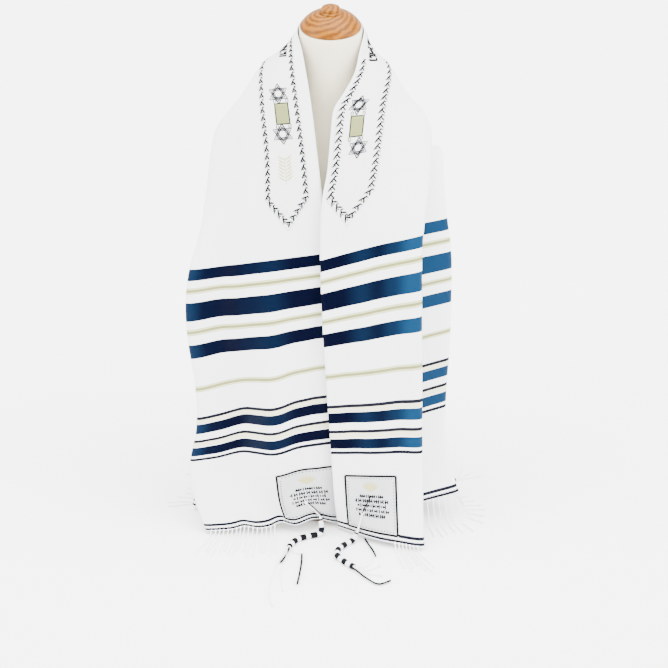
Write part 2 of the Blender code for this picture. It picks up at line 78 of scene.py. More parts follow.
def add_bump(tree, shader, height, inputs):
    bump = new_node(tree, "ShaderNodeBump", {"Height": height, **inputs})
    tree.links.new(bump.outputs["Normal"], shader.inputs["Normal"])


def add_mesh(name, points, faces, paint, smooth=True, edges=()):
    mesh = bpy.data.meshes.new(name)
    mesh.from_pydata([tuple(p) for p in points], edges, [tuple(f) for f in faces])
    mesh.materials.append(paint)
    mesh.polygons.foreach_set("use_smooth", [smooth] * len(mesh.polygons))
    piece = bpy.data.objects.new(name, mesh)
    bpy.context.scene.collection.objects.link(piece)
    return piece


floor_paint, floor_tree, floor_shader = new_material("white_floor", (0.94, 0.94, 0.94), 0.9)
floor_noise = new_node(floor_tree, "ShaderNodeTexNoise", {"Scale": 6})
add_bump(floor_tree, floor_shader, floor_noise.outputs["Fac"], {"Strength": 0.02})
floor_half = 20
square_corners = [(-1, -1), (1, -1), (1, 1), (-1, 1)]
floor_corners = [(x * floor_half, y * floor_half, 0) for x, y in square_corners]
floor = add_mesh("floor", floor_corners, [(0, 1, 2, 3)], floor_paint)

room = bpy.data.worlds.new("pale_room")
room.use_nodes = True
background = room.node_tree.nodes["Background"]
set_inputs(room.node_tree, background, {"Color": (0.97, 0.98, 1.0, 1), "Strength": 2.4})
bpy.context.scene.world = room

# name, way it comes from, how soft it is in degrees, strength
lamps = [
    ("lamp_right", (1.9, -1.0, 1.0), 50, 5.0),
    ("lamp_left", (-1.9, -0.9, 1.1), 50, 4.2),
    ("lamp_top", (0.2, -0.5, 2.6), 70, 11.0),
]
for name, place, softness, strength in lamps:
    lamp_data = bpy.data.lights.new(name, "SUN")
    lamp_data.angle = math.radians(softness)
    lamp_data.energy = strength
    lamp = bpy.data.objects.new(name, lamp_data)
    lamp.location = place
    lamp.rotation_euler = (-Vector(place)).to_track_quat("-Z", "Y").to_euler()
    bpy.context.scene.collection.objects.link(lamp)


# Shawl
# One woven white cloth with blue and gold stripes across both ends. It lies round the neck of the form,
# over both shoulders and down to the floor, with its outer part folded back behind the front layer.
cloth_half_length = 0.915
cloth_width = 0.56
cloth_wall = 0.0014
fold_depth = 0.030
low_mark = 0.155
high_mark = 0.463
rail_steps = 24
cross_steps = 33
full_turn = 2 * math.pi
length_steps = 307
width_steps = 113

# rails run along the cloth from the left hem over the back to the right hem: x, y, z in millimetres
inner_edge = [
    (29, -102, 6), (20, -116, 100), (8, -122, 200), (2, -124, 330), (-3, -122, 470), (-12, -116, 560),
    (-20, -102, 629), (-30, -82, 704), (-42, -42, 765), (-50.6, 0, 796), (-35.8, 35.8, 806), (0, 50.2, 806),
    (35.8, 35.8, 806), (50.6, 0, 796), (43, -38, 765), (36, -60, 740), (20, -82, 714), (5, -95, 692),
    (0, -106, 655), (-5, -117, 604), (-13, -128, 560), (-16, -134, 500), (-14, -136, 400), (-9, -136, 300),
    (-3, -135, 200), (2, -132, 120), (6, -128, 60), (12, -116, 6),
]
collar_line = [
    (-88, -128, 12), (-100, -124, 60), (-105, -124, 150), (-105, -126, 250), (-108, -126, 350),
    (-108, -124, 450), (-105, -112, 540), (-105, -84, 620), (-112, -45, 690), (-108, 0, 738),
    (-68, 55, 736), (0, 80, 712), (60, 58, 735), (96, 0, 732), (94, -45, 690), (86, -85, 625),
    (74, -115, 550), (66, -130, 470), (66, -136, 370), (70, -137, 270), (76, -136, 170), (80, -140, 85),
    (84, -170, 10),
]
outer_ridge = [
    (-205, -128, 6), (-223, -110, 50), (-231, -100, 105), (-217, -98, 180), (-216, -98, 250),
    (-225, -98, 330), (-226, -97, 390), (-218, -94, 445), (-204, -78, 490), (-192, -52, 540),
    (-186, -25, 600), (-176, 8, 645), (-140, 55, 660), (-80, 90, 628), (0, 104, 606), (75, 92, 635),
    (128, 52, 672), (152, 5, 652), (155, -40, 605), (146, -90, 555), (138, -122, 490), (139, -130, 407),
    (141, -130, 325), (144, -130, 223), (147, -137, 105), (149, -182, 7),
]
hidden_valley = [
    (-112, -90, 20), (-112, -86, 150), (-112, -84, 300), (-114, -80, 420), (-112, -62, 520),
    (-108, -34, 600), (-104, 10, 665), (-90, 60, 625), (-60, 98, 550), (0, 114, 492), (60, 100, 548),
    (92, 60, 638), (98, 5, 676), (80, -47, 620), (54, -85, 545), (36, -108, 450), (27, -114, 350),
    (25, -114, 220), (27, -113, 100), (34, -118, 22),
]
side_ridge = [
    (-235, -48, 8), (-214, -52, 100), (-203, -55, 200), (-203, -55, 300), (-200, -50, 400),
    (-192, -35, 480), (-184, -12, 550), (-176, 20, 595), (-145, 65, 560), (-85, 108, 445), (0, 124, 355),
    (85, 108, 450), (145, 62, 570), (172, 15, 612), (176, -20, 565), (180, -45, 519), (188, -58, 457),
    (190, -60, 382), (190, -60, 306), (187, -60, 220), (189, -60, 140), (200, -62, 85), (213, -70, 45),
]
outer_edge = [
    (-140, 28, 22), (-136, 30, 150), (-140, 28, 270), (-150, 30, 360), (-157, 37, 438), (-160, 61, 484),
    (-148, 94, 468), (-112, 117, 392), (-60, 130, 292), (0, 134, 246), (60, 130, 308), (108, 118, 402),
    (142, 98, 478), (158, 68, 506), (158, 42, 474), (150, 30, 400), (142, 28, 300), (138, 30, 150),
    (144, 28, 50),
]
# cloth width from the inner edge to the rail on the left and right,
# then length along the rail from the hem to the low and the high wide stripe, on the left and on the right
rails = [
    (inner_edge, 0.000, 0.000, 0.168, 0.476, 0.154, 0.468),
    (collar_line, 0.114, 0.082, 0.146, 0.456, 0.156, 0.489),
    (outer_ridge, 0.232, 0.156, 0.130, 0.450, 0.164, 0.512),
    (hidden_valley, 0.342, 0.281, 0.140, 0.453, 0.165, 0.480),
    (side_ridge, 0.444, 0.450, 0.150, 0.456, 0.168, 0.474),
    (outer_edge, 0.560, 0.560, 0.144, 0.390, 0.150, 0.400),
]
# soft folds on the hanging ends: side, cloth width of its middle, spread, height out of the cloth,
# then the distances from the hem where it starts to fade and is gone
folds = [
    (-1, 0.150, 0.018, -0.009, 0.20, 0.36),
    (-1, 0.186, 0.016, 0.006, 0.16, 0.34),
    (-1, 0.180, 0.026, -0.010, 0.36, 0.60),
    (-1, 0.098, 0.024, 0.016, 0.20, 0.50),
    (-1, 0.106, 0.018, -0.020, 0.02, 0.12),
    (-1, 0.150, 0.018, 0.012, 0.02, 0.10),
    (-1, 0.060, 0.022, 0.005, 0.03, 0.09),
    (-1, 0.500, 0.030, 0.008, 0.24, 0.42),
    (1, 0.118, 0.020, -0.004, 0.30, 0.52),
    (1, 0.365, 0.040, 0.007, 0.30, 0.60),
    (1, 0.505, 0.028, 0.008, 0.24, 0.42),
]
# smaller creases: side, hem distance and width at one end, the same at the other end, spread, height
creases = [
    (1, 0.575, 0.090, 0.470, 0.100, 0.009, -0.0030),
    (1, 0.540, 0.072, 0.475, 0.080, 0.006, 0.0022),
    (1, 0.480, 0.030, 0.455, 0.095, 0.014, -0.0026),
    (1, 0.440, 0.060, 0.300, 0.070, 0.014, 0.0016),
    (1, 0.300, 0.030, 0.130, 0.045, 0.012, -0.0012),
    (-1, 0.640, 0.165, 0.480, 0.200, 0.012, -0.0022),
    (-1, 0.620, 0.140, 0.420, 0.150, 0.014, 0.0014),
    (-1, 0.400, 0.020, 0.200, 0.035, 0.010, -0.0018),
    (-1, 0.330, 0.085, 0.140, 0.080, 0.012, 0.0013),
    (-1, 0.130, 0.040, 0.020, 0.030, 0.010, 0.0014),
    (-1, 0.720, 0.200, 0.560, 0.230, 0.013, 0.0018),
    (1, 0.700, 0.190, 0.560, 0.230, 0.013, 0.0020),
    (-1, 0.900, 0.300, 0.760, 0.420, 0.016, 0.0026),
    (-1, 0.910, 0.180, 0.780, 0.260, 0.014, -0.0020),
    (1, 0.900, 0.330, 0.770, 0.470, 0.016, 0.0026),
    (1, 0.905, 0.230, 0.780, 0.310, 0.014, -0.0020),
    (1, 0.860, 0.420, 0.740, 0.500, 0.012, -0.0022),
    (-1, 0.860, 0.400, 0.730, 0.490, 0.012, -0.0022),
]


def smooth_step(low, high, value):
    share = np.clip((value - low) / (high - low), 0, 1)
    return share * share * (3 - 2 * share)


def hermite(start, start_lean, end, end_lean, share):
    # a smooth curve from one value to another, with how steeply it leaves and arrives
    return (start * (1 + 2 * share) * (1 - share) ** 2 + start_lean * share * (1 - share) ** 2
            + end * share ** 2 * (3 - 2 * share) + end_lean * share ** 2 * (share - 1))


def spline(marks, values, wanted):
    # a smooth curve through the values at the marks, read at the places wanted
    slope = np.diff(values) / np.diff(marks)
    step = np.diff(marks)
    lean = np.zeros(len(marks))
    lean[1:-1] = (slope[:-1] * step[1:] + slope[1:] * step[:-1]) / (step[1:] + step[:-1])
    lean[0] = slope[0]
    lean[-1] = slope[-1]
    i = np.clip(np.searchsorted(marks, wanted, side="right") - 1, 0, len(marks) - 2)
    x = (wanted - marks[i]) / step[i]
    return hermite(values[i], lean[i] * step[i], values[i + 1], lean[i + 1] * step[i], x)


def run_along(points):
    # the distance walked along a line, at each of its points
    return np.concatenate([[0.0], np.cumsum(np.linalg.norm(np.diff(points, axis=0), axis=1))])


def rail_line(table, left_low, left_high, right_low, right_high):
    # a smooth rail at close steps, with the place along the cloth that each step has
    marks = np.array(table) / 1000
    gaps = np.sqrt(np.linalg.norm(np.diff(marks, axis=0), axis=1))
    stops = np.concatenate([[0.0], np.cumsum(gaps)])
    wanted = [np.linspace(a, b, rail_steps, endpoint=False) for a, b in zip(stops, stops[1:])]
    wanted = np.concatenate(wanted + [stops[-1:]])
    line = np.stack([spline(stops, marks[:, k], wanted) for k in range(3)], axis=1)
    run = run_along(line)
    middle = rail_steps * [i for i, p in enumerate(table) if p[0] == 0 and p[1] > 0][0]
    length_marks = np.array([0.0, low_mark, high_mark, cloth_half_length])
    left_marks = np.array([0.0, left_low, left_high, run[middle]])
    right_marks = np.array([0.0, right_low, right_high, run[-1] - run[middle]])
    left = spline(left_marks, length_marks, run[:middle]) - cloth_half_length
    right = cloth_half_length - spline(right_marks, length_marks, run[-1] - run[middle:])
    return np.concatenate([left, right]), line


rail_lines = [rail_line(row[0], *row[3:]) for row in rails]


def left_to_right(along, left, right):
    # a value of the left half that turns into that of the right half round the back of the neck
    side = smooth_step(-0.2, 0.2, along)
    return left * (1 - side) + right * side


def cross_line(along):
    # one line across the cloth at a place along it: cloth width and point at close steps
    posts = [np.array([np.interp(along, where, line[:, k]) for k in range(3)]) for where, line in rail_lines]
    widths = [left_to_right(along, row[1], row[2]) for row in rails]
    folded = smooth_step(0.09, 0.26, abs(along))
    turn = -1.2 * (1 - smooth_step(0.10, 0.22, abs(along))) + 1.57 * smooth_step(0.24, 0.38, abs(along))
    inward = np.array([0.0, math.sin(turn), -math.cos(turn)])
    runs = [(b - a) / (w - v) for a, b, v, w in zip(posts, posts[1:], widths, widths[1:])]
    turns = [runs[0]]
    for k in range(1, 5):
        before = widths[k] - widths[k - 1]
        after = widths[k + 1] - widths[k]
        through = (runs[k - 1] * after + runs[k] * before) / (before + after)
        turns.append(through if k == 1 else through * (1 - folded))
    turns.append(runs[4])
    share = np.linspace(0, 1, cross_steps)[:, None]
    across = []
    points = []
    for k in range(5):
        step = widths[k + 1] - widths[k]
        start = turns[k] * step + (inward * fold_depth * folded if k > 1 else 0)
        end = turns[k + 1] * step + (inward * fold_depth * folded if 0 < k < 4 else 0)
        bend = hermite(posts[k], start, posts[k + 1], end, share)
        run = run_along(bend)
        across.append((widths[k] + step * run / run[-1])[:None if k == 4 else -1])
        points.append(bend[:None if k == 4 else -1])
    return np.concatenate(across), np.concatenate(points)


def outward(points):
    # the direction straight out of a grid of points, at each of them
    lengthwise = np.gradient(points, axis=0)
    crosswise = np.gradient(points, axis=1)
    out = np.cross(lengthwise, crosswise)
    return out / np.linalg.norm(out, axis=2, keepdims=True)


places = np.linspace(-cloth_half_length, cloth_half_length, length_steps)
across = np.linspace(0, cloth_width, width_steps)
cloth_points = np.zeros((len(places), len(across), 3))
for i, along in enumerate(places):
    width, line = cross_line(along)
    cloth_points[i] = np.stack([np.interp(across, width, line[:, k]) for k in range(3)], axis=1)
hem_distance = cloth_half_length - np.abs(places)[:, None]
cloth_side = np.sign(places)[:, None]
swell = np.zeros(cloth_points.shape[:2])
for side, middle, spread, height, near, far in folds:
    fade = 1 - smooth_step(near, far, hem_distance)
    swell += (cloth_side == side) * height * fade * np.exp(-((across[None, :] - middle) / spread) ** 2)
for side, start_hem, start_width, end_hem, end_width, spread, height in creases:
    run = np.array([end_hem - start_hem, end_width - start_width])
    share = ((hem_distance - start_hem) * run[0] + (across[None, :] - start_width) * run[1]) / (run @ run)
    clamped = np.clip(share, 0, 1)
    off_hem = hem_distance - start_hem - clamped * run[0]
    off_width = across[None, :] - start_width - clamped * run[1]
    gap = np.sqrt(off_hem ** 2 + off_width ** 2) / spread
    wave = 1 + 0.25 * np.sin(hem_distance * 60 + start_width * 90)
    swell += (cloth_side == side) * height * wave * np.exp(-gap ** 2)
cloth_points = cloth_points + outward(cloth_points) * swell[:, :, None]
# places where the hem stands up off the surface: side, width, spread, height, how far up it fades
hem_arches = [
    (-1, 0.058, 0.026, 0.014, 0.075),
    (-1, 0.105, 0.014, 0.006, 0.050),
    (-1, 0.165, 0.014, 0.004, 0.050),
]
for side, width, spread, height, fade in hem_arches:
    arch = np.exp(-((across[None, :] - width) / spread) ** 2) * (1 - smooth_step(0, fade, hem_distance))
    cloth_points[:, :, 2] += (cloth_side == side) * height * arch
cloth_out = outward(cloth_points)


def on_cloth(along, width, rise):
    # the point over a place of the cloth, at a distance from the middle of its wall
    i = np.clip((np.asarray(along) + cloth_half_length) / (places[1] - places[0]), 0, len(places) - 1.001)
    j = np.clip(np.asarray(width) / (across[1] - across[0]), 0, len(across) - 1.001)
    a = i.astype(int)
    b = j.astype(int)
    s = (i - a)[..., None]
    t = (j - b)[..., None]
    found = []
    for table in (cloth_points, cloth_out):
        found.append((table[a, b] * (1 - s) + table[a + 1, b] * s) * (1 - t)
                     + (table[a, b + 1] * (1 - s) + table[a + 1, b + 1] * s) * t)
    return found[0] + found[1] * np.asarray(rise)[..., None], found[1]


def set_flat_place(piece, u, v):
    # the flat place of each point, in metres, as the texture place
    place = piece.data.uv_layers.new(name="flat_place")
    corner_points = np.array([loop.vertex_index for loop in piece.data.loops])
    place.data.foreach_set("uv", np.stack([u[corner_points], v[corner_points]], axis=1).reshape(-1))


def sheet_mesh(name, points, u, v, paint, wall):
    # a grid of points as a thin cloth
    rows, columns = points.shape[:2]
    faces = []
    for i in range(rows - 1):
        for j in range(columns - 1):
            a = i * columns + j
            faces.append((a, a + 1, a + columns + 1, a + columns))
    piece = add_mesh(name, points.reshape(-1, 3), faces, paint)
    set_flat_place(piece, u.reshape(-1), v.reshape(-1))
    thick = piece.modifiers.new("wall", "SOLIDIFY")
    thick.thickness = wall
    thick.offset = 0
    return piece


def mix_colour(tree, factor, below, above):
    # a colour between two others, each three numbers or a socket
    mixed = tree.nodes.new("ShaderNodeMix")
    mixed.data_type = "RGBA"
    below, above = [(*value, 1) if isinstance(value, tuple) else value for value in (below, above)]
    set_inputs(tree, mixed, {0: factor, 6: below, 7: above})
    return mixed.outputs[2]


def new_math(tree, operation, *values):
    # a sum of the paint, with a value or a socket for each of its inputs
    made = new_node(tree, "ShaderNodeMath", dict(enumerate(values)))
    made.operation = operation
    return made.outputs[0]


def noise_colour(tree, shader, place, inputs, low_colour, high_colour):
    # the colour of the paint wavers between two, and the noise is given back
    noise = new_node(tree, "ShaderNodeTexNoise", {"Vector": place, **inputs})
    colour = mix_colour(tree, noise.outputs["Fac"], low_colour, high_colour)
    tree.links.new(colour, shader.inputs["Base Color"])
    return noise.outputs["Fac"]


def woven_paint(name, colour, roughness, periods, strength, others=()):
    # fine threads that go over and under, with their periods in metres along and across the flat cloth
    paint, tree, shader = new_material(name, colour, roughness, others)
    place = tree.nodes.new("ShaderNodeUVMap")
    place.uv_map = "flat_place"
    parts = new_node(tree, "ShaderNodeSeparateXYZ", {0: place.outputs[0]})
    waves = []
    for axis, period in zip("XY", periods):
        angle = new_math(tree, "MULTIPLY", parts.outputs[axis], full_turn / period)
        waves.append(new_math(tree, "SINE", angle))
    add_bump(tree, shader, new_math(tree, "MULTIPLY", *waves), {"Strength": strength, "Distance": 0.0003})
    return paint, tree, shader, place.outputs[0], parts


def streaked_paint(name, colour, roughness, strength, spread, low_colour, high_colour, others=()):
    # the weave of the shawl in one thread, with streaks along the thread
    periods = (0.0011, 0.0013)
    paint, tree, shader, place, parts = woven_paint(name, colour, roughness, periods, strength, others)
    stretched = new_node(tree, "ShaderNodeMapping", {"Scale": spread, "Vector": place})
    noise_inputs = {"Scale": 1, "Detail": 3}
    noise_colour(tree, shader, stretched.outputs["Vector"], noise_inputs, low_colour, high_colour)
    return paint, tree, shader, parts


def stripe_paint(name, low_colour, high_colour, roughness, others=()):
    return streaked_paint(name, low_colour, roughness, 0.25, (900, 20, 1), low_colour, high_colour, others)


wool_low = (0.76, 0.77, 0.77)
wool_high = (0.84, 0.85, 0.84)
wool_inputs = {"Sheen Weight": 0.15}
wool = streaked_paint(
    "white_wool", (0.87, 0.88, 0.87), 0.85, 0.35, (700, 14, 1), wool_low, wool_high, wool_inputs)[0]
blue_inputs = {
    "Sheen Weight": 0.08, "Sheen Roughness": 0.30, "Sheen Tint": (0.04, 0.28, 0.85, 1),
    "Specular IOR Level": 0.04, "Specular Tint": (0.10, 0.30, 0.85, 1),
    "Anisotropic": 0.8, "Anisotropic Rotation": 0.25,
}
blue_satin, blue_tree, blue_shader, blue_parts = stripe_paint(
    "blue_satin_stripe", (0.0005, 0.0004, 0.0030), (0.0013, 0.0012, 0.0080), 0.38, blue_inputs)
# painted highlight: the satin is nearly black, and its colour is painted brighter blue by width, standing in
# for the light where its folds turn to the side lamps: width from the inner edge and share of the painted
# bright blue, on the left and then on the right
satin_painted_highlights = [
    [(0.055, 0.0), (0.095, 0.15), (0.130, 0.08), (0.160, 0.0), (0.200, 0.04), (0.225, 0.35), (0.270, 0.85)],
    [(0.030, 0.0), (0.064, 0.22), (0.088, 0.08), (0.110, 0.32), (0.138, 1.0), (0.160, 1.0), (0.300, 0.85)],
]
# the bright blue of the painted highlight
satin_painted_highlight_blue = (0.006, 0.026, 0.062)
satin_low = blue_shader.inputs["Base Color"].links[0].from_socket
painted_highlight_shares = []
for marks in satin_painted_highlights:
    width_inputs = {"Value": blue_parts.outputs["Y"], "From Max": cloth_width}
    by_width = new_node(blue_tree, "ShaderNodeMapRange", width_inputs)
    ramp = new_node(blue_tree, "ShaderNodeValToRGB", {0: by_width.outputs[0]})
    ramp.color_ramp.interpolation = "EASE"
    for width, share in marks[2:]:
        ramp.color_ramp.elements.new(width / cloth_width)
    for element, (width, share) in zip(ramp.color_ramp.elements, marks):
        element.position = width / cloth_width
    for element, (width, share) in zip(ramp.color_ramp.elements, marks):
        element.color = (share, share, share, 1)
    painted_highlight_shares.append(ramp.outputs[0])
right_half = new_math(blue_tree, "GREATER_THAN", blue_parts.outputs["X"], 0)
painted_highlight_share = mix_colour(blue_tree, right_half, *painted_highlight_shares)
# painted highlight: the navy base colour is mixed toward bright blue by these width shares, standing in for
# light from the side lamps
satin_colour_with_painted_highlight = mix_colour(blue_tree, painted_highlight_share, satin_low, satin_painted_highlight_blue)
blue_tree.links.new(satin_colour_with_painted_highlight, blue_shader.inputs["Base Color"])
dull = {"Specular IOR Level": 0.1}
navy_thread = stripe_paint("navy_stripe", (0.0008, 0.0012, 0.005), (0.0015, 0.0025, 0.009), 0.7, dull)[0]
gold_stripe = stripe_paint("gold_stripe", (0.38, 0.40, 0.19), (0.52, 0.53, 0.31), 0.5)[0]
pale_stripe = stripe_paint("pale_gold_stripe", (0.60, 0.58, 0.38), (0.70, 0.68, 0.52), 0.6)[0]
olive_stripe = stripe_paint("olive_stripe", (0.11, 0.115, 0.03), (0.24, 0.24, 0.08), 0.5)[0]
cloth_paints = [wool, blue_satin, navy_thread, gold_stripe, pale_stripe, olive_stripe]
# distance of the stripe's middle from the hem, half its width, thread
stripes = [
    (0.4540, 0.0090, blue_satin), (0.4290, 0.0048, gold_stripe), (0.4290, 0.0018, olive_stripe),
    (0.3970, 0.0140, blue_satin), (0.3660, 0.0048, gold_stripe), (0.3660, 0.0018, olive_stripe),
    (0.3365, 0.0105, blue_satin), (0.2770, 0.0048, gold_stripe), (0.2770, 0.0018, olive_stripe),
    (0.2210, 0.0042, pale_stripe), (0.2270, 0.0026, navy_thread), (0.2075, 0.0088, blue_satin),
    (0.1775, 0.0042, pale_stripe), (0.1840, 0.0025, navy_thread), (0.1630, 0.0085, blue_satin),
    (0.1470, 0.0025, navy_thread), (0.0126, 0.0025, navy_thread), (0.0044, 0.0024, navy_thread),
]
edges = sorted({round(middle + way * half, 5) for middle, half, thread in stripes for way in (-1, 1)})
clear_of_edge = 0.0012
even_rows = np.linspace(0, cloth_half_length, 154)
plain_rows = [d for d in even_rows if min(abs(d - e) for e in edges) > clear_of_edge]
side_rows = np.array(sorted(edges + plain_rows))
rows_u = np.concatenate([side_rows - cloth_half_length, (cloth_half_length - side_rows[:-1])[::-1]])
sheet_u, sheet_v = np.meshgrid(rows_u, across, indexing="ij")
sheet_points = on_cloth(sheet_u, sheet_v, 0.0)[0]
shawl = sheet_mesh("shawl_cloth", sheet_points, sheet_u, sheet_v, wool, cloth_wall)
for paint in cloth_paints[1:]:
    shawl.data.materials.append(paint)
row_middle = cloth_half_length - np.abs((rows_u[:-1] + rows_u[1:]) / 2)
row_paint = np.zeros(len(row_middle), int)
for middle, half, thread in stripes:
    row_paint[np.abs(row_middle - middle) < half] = cloth_paints.index(thread)
shawl.data.polygons.foreach_set("material_index", np.repeat(row_paint, len(across) - 1))
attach(shawl, "root")
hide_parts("shawl")


# Hems
# Both short ends are turned up once, 7 mm deep, and held with a row of small stitches.
def thread_ribbons(name, lines, paint):
    # flat closed ribbons that follow the cloth: places along and across it, half width, rise and depth
    points = []
    faces = []
    for along, width, half, rise, depth in lines:
        centre, out = on_cloth(along, width, rise)
        heading = np.gradient(centre, axis=0)
        aside = np.cross(out, heading)
        halves = np.broadcast_to(half, (len(along),))[:, None]
        aside = aside / np.linalg.norm(aside, axis=1, keepdims=True) * halves
        first = len(points)
        for p, n, a in zip(centre, out, aside):
            points += [p - a, p + a, p + a + n * depth, p - a + n * depth]
        for k in range(len(along) - 1):
            q = first + 4 * k
            faces += [(q + c, q + (c + 1) % 4, q + 4 + (c + 1) % 4, q + 4 + c) for c in range(4)]
        last = len(points) - 4
        faces += [(first + 3, first + 2, first + 1, first), (last, last + 1, last + 2, last + 3)]
    return add_mesh(name, points, faces, paint, smooth=False)


hem_depth = 0.007
hem_ends = {"left": -cloth_half_length, "right": cloth_half_length}
white_thread_paint = new_material("white_sewing_thread", (0.80, 0.81, 0.80), 0.6)[0]
stitch_step = 0.0042
stitch_length = 0.0026
stitch_place = 0.0062
stitch_rise = cloth_wall / 2 + 0.0006
for side, place in hem_ends.items():
    toward = -math.copysign(1, place)
    rows = place + toward * np.array([0.0002, 0.0010, 0.0020, 0.0068, hem_depth])
    grid_u, grid_v = np.meshgrid(rows, np.linspace(0.0005, cloth_width - 0.0005, 160), indexing="ij")
    hem_points = on_cloth(grid_u, grid_v, cloth_wall / 2 + 0.00035)[0]
    hem = sheet_mesh("hem_" + side, hem_points, cloth_half_length - np.abs(grid_u), grid_v, wool, 0.0006)
    hem.data.materials.append(navy_thread)
    hem_middle = cloth_half_length - np.abs((rows[:-1] + rows[1:]) / 2)
    dark_rows = np.abs(hem_middle - 0.0044) < 0.0018
    hem.data.polygons.foreach_set("material_index", np.repeat(dark_rows.astype(int), grid_v.shape[1] - 1))
    stitches = []
    for v in np.arange(0.003, cloth_width - 0.003, stitch_step):
        along = [place + toward * stitch_place] * 2
        stitches.append((along, [v, v + stitch_length], 0.0003, stitch_rise, 0.0004))
    sewn = thread_ribbons("hem_stitches_" + side, stitches, white_thread_paint)
    for piece in (hem, sewn):
        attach(piece, "root")


# Neckband
# A satin strip sewn along the inner edge, pointed at both ends, with a woven vine border, star outlines,
# a gold plaque on each side and a pale sprig under the left one.
band_tip = 0.505
band_taper = 0.048
band_half_left = 0.041
band_half_right = 0.033
band_middle_left = 0.064
band_middle_right = 0.038


def band_middle(along):
    return left_to_right(along, band_middle_left, band_middle_right)


def band_half(along):
    return left_to_right(along, band_half_left, band_half_right)


def satin_paint(name, colour, roughness, periods, strength, scale, low_colour, high_colour, others=()):
    # a weave with a soft cloud between two colours
    paint, tree, shader, place, parts = woven_paint(name, colour, roughness, periods, strength, others)
    noise_colour(tree, shader, place, {"Scale": scale}, low_colour, high_colour)
    return paint


band_low = (0.68, 0.70, 0.67)
band_high = (0.76, 0.77, 0.73)
band_sheen = {"Sheen Weight": 0.1}
satin = satin_paint(
    "grey_satin", (0.80, 0.81, 0.79), 0.42, (0.0022, 0.0006), 0.25, 90, band_low, band_high, band_sheen)

band_reach = cloth_half_length - band_tip
band_rows = np.linspace(-band_reach, band_reach, 221)
band_shares = np.linspace(-1, 1, 19)
taper = np.clip((band_reach - np.abs(band_rows)) / band_taper, 0.03, 1)
band_u = np.broadcast_to(band_rows[:, None], (len(band_rows), len(band_shares)))
band_v = band_middle(band_rows)[:, None] + (band_half(band_rows) * taper)[:, None] * band_shares[None, :]
band_rise = cloth_wall / 2 + 0.0007
band_wall = 0.0010
band_points = on_cloth(band_u, band_v, band_rise)[0]
neckband = sheet_mesh("neckband_satin", band_points, band_u, band_v, satin, band_wall)
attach(neckband, "root")
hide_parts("neckband")

grey_thread = new_material("grey_navy_thread", (0.010, 0.011, 0.015), 0.7, dull)[0]
gold_thread = new_material("pale_gold_thread", (0.19, 0.205, 0.065), 0.5)[0]
pale_thread = new_material("pale_straw_thread", (0.42, 0.39, 0.17), 0.5)[0]
dark_thread = new_material("black_thread", (0.0015, 0.0015, 0.0025), 0.7, dull)[0]
thread_rise = band_rise + band_wall / 2 - 0.0001
thread_depth = 0.00035


def loop_lines(shape, middle_u, middle_v, turn, size, half):
    # a small drawing moved, turned and sized on the flat cloth, as one line of thread
    c = math.cos(turn) * size
    s = math.sin(turn) * size
    us = [middle_u + x * c - y * s for x, y in shape]
    vs = [middle_v + x * s + y * c for x, y in shape]
    return (us, vs, half, thread_rise, thread_depth)


def walk_round(corners, shares):
    # places on the straight sides between the corners, by their shares of a side
    walk = []
    for a, b in zip(corners, corners[1:]):
        for share in shares:
            walk.append((a[0] * (1 - share) + b[0] * share, a[1] * (1 - share) + b[1] * share))
    return walk


# the border walks round the band, inside its edge
border_inset = 0.0060
border_path = []
flat_ends = band_reach - band_taper
for share_side in (1, -1):
    rows = np.linspace(-flat_ends, flat_ends, 300) * share_side
    edge = band_middle(rows) + share_side * (band_half(rows) - border_inset)
    border_path += list(zip(rows, edge))
    border_path.append(((band_reach - 0.010) * share_side, float(band_middle(band_reach * share_side))))
border_path = np.array(border_path + border_path[:1])
border_run = run_along(border_path)
vine_period = 0.0118
vine_count = int(border_run[-1] / vine_period)
# the parts of one vine step, as a shape and its half widths
vine_parts = [
    ([(0.34, -0.36), (0.46, -0.12), (0.20, 0.00), (-0.05, 0.20), (-0.40, 0.42)],
     [0.0009, 0.0012, 0.0014, 0.0013, 0.0008]),
    ([(0.12, 0.02), (-0.12, -0.18), (-0.38, -0.38)], [0.0008, 0.0015, 0.0008]),
    ([(-0.34, 0.02), (-0.26, 0.08), (-0.18, 0.10)], [0.0006, 0.0012, 0.0006]),
]
vine_lines = []
for k in range(vine_count):
    middle = (k + 0.5) * border_run[-1] / vine_count
    u, v = [np.interp(middle, border_run, border_path[:, axis]) for axis in (0, 1)]
    ahead_u, ahead_v = [np.interp(middle + 0.002, border_run, border_path[:, axis]) for axis in (0, 1)]
    turn = math.atan2(ahead_v - v, ahead_u - u)
    if math.cos(turn) * u > 0:
        turn += math.pi
    # the inner border stops where the bold row rounds the neck
    if -0.085 < u < 0.135 and v < band_middle(u):
        continue
    for shape, halves in vine_parts:
        vine_lines.append(loop_lines(shape, u, v, turn, vine_period, halves))

star_radius = 0.0148
plaque_half_long = 0.0150
plaque_half_wide = 0.0084
quarters = (0.0, 0.25, 0.5, 0.75)


def star_lines(middle_u, middle_v, drawn_long, drawn_wide, radius):
    # two triangles, each drawn twice
    lines = []
    for flip in (0, math.pi):
        for inner in (1.0, 0.72):
            angles = [flip + full_turn * k / 3 for k in range(4)]
            corners = [(math.cos(angle), math.sin(angle)) for angle in angles]
            shape = [(x * drawn_long, y * drawn_wide) for x, y in walk_round(corners, quarters)]
            lines.append(loop_lines(shape + shape[:1], middle_u, middle_v, 0, radius * inner, 0.00080))
    return lines


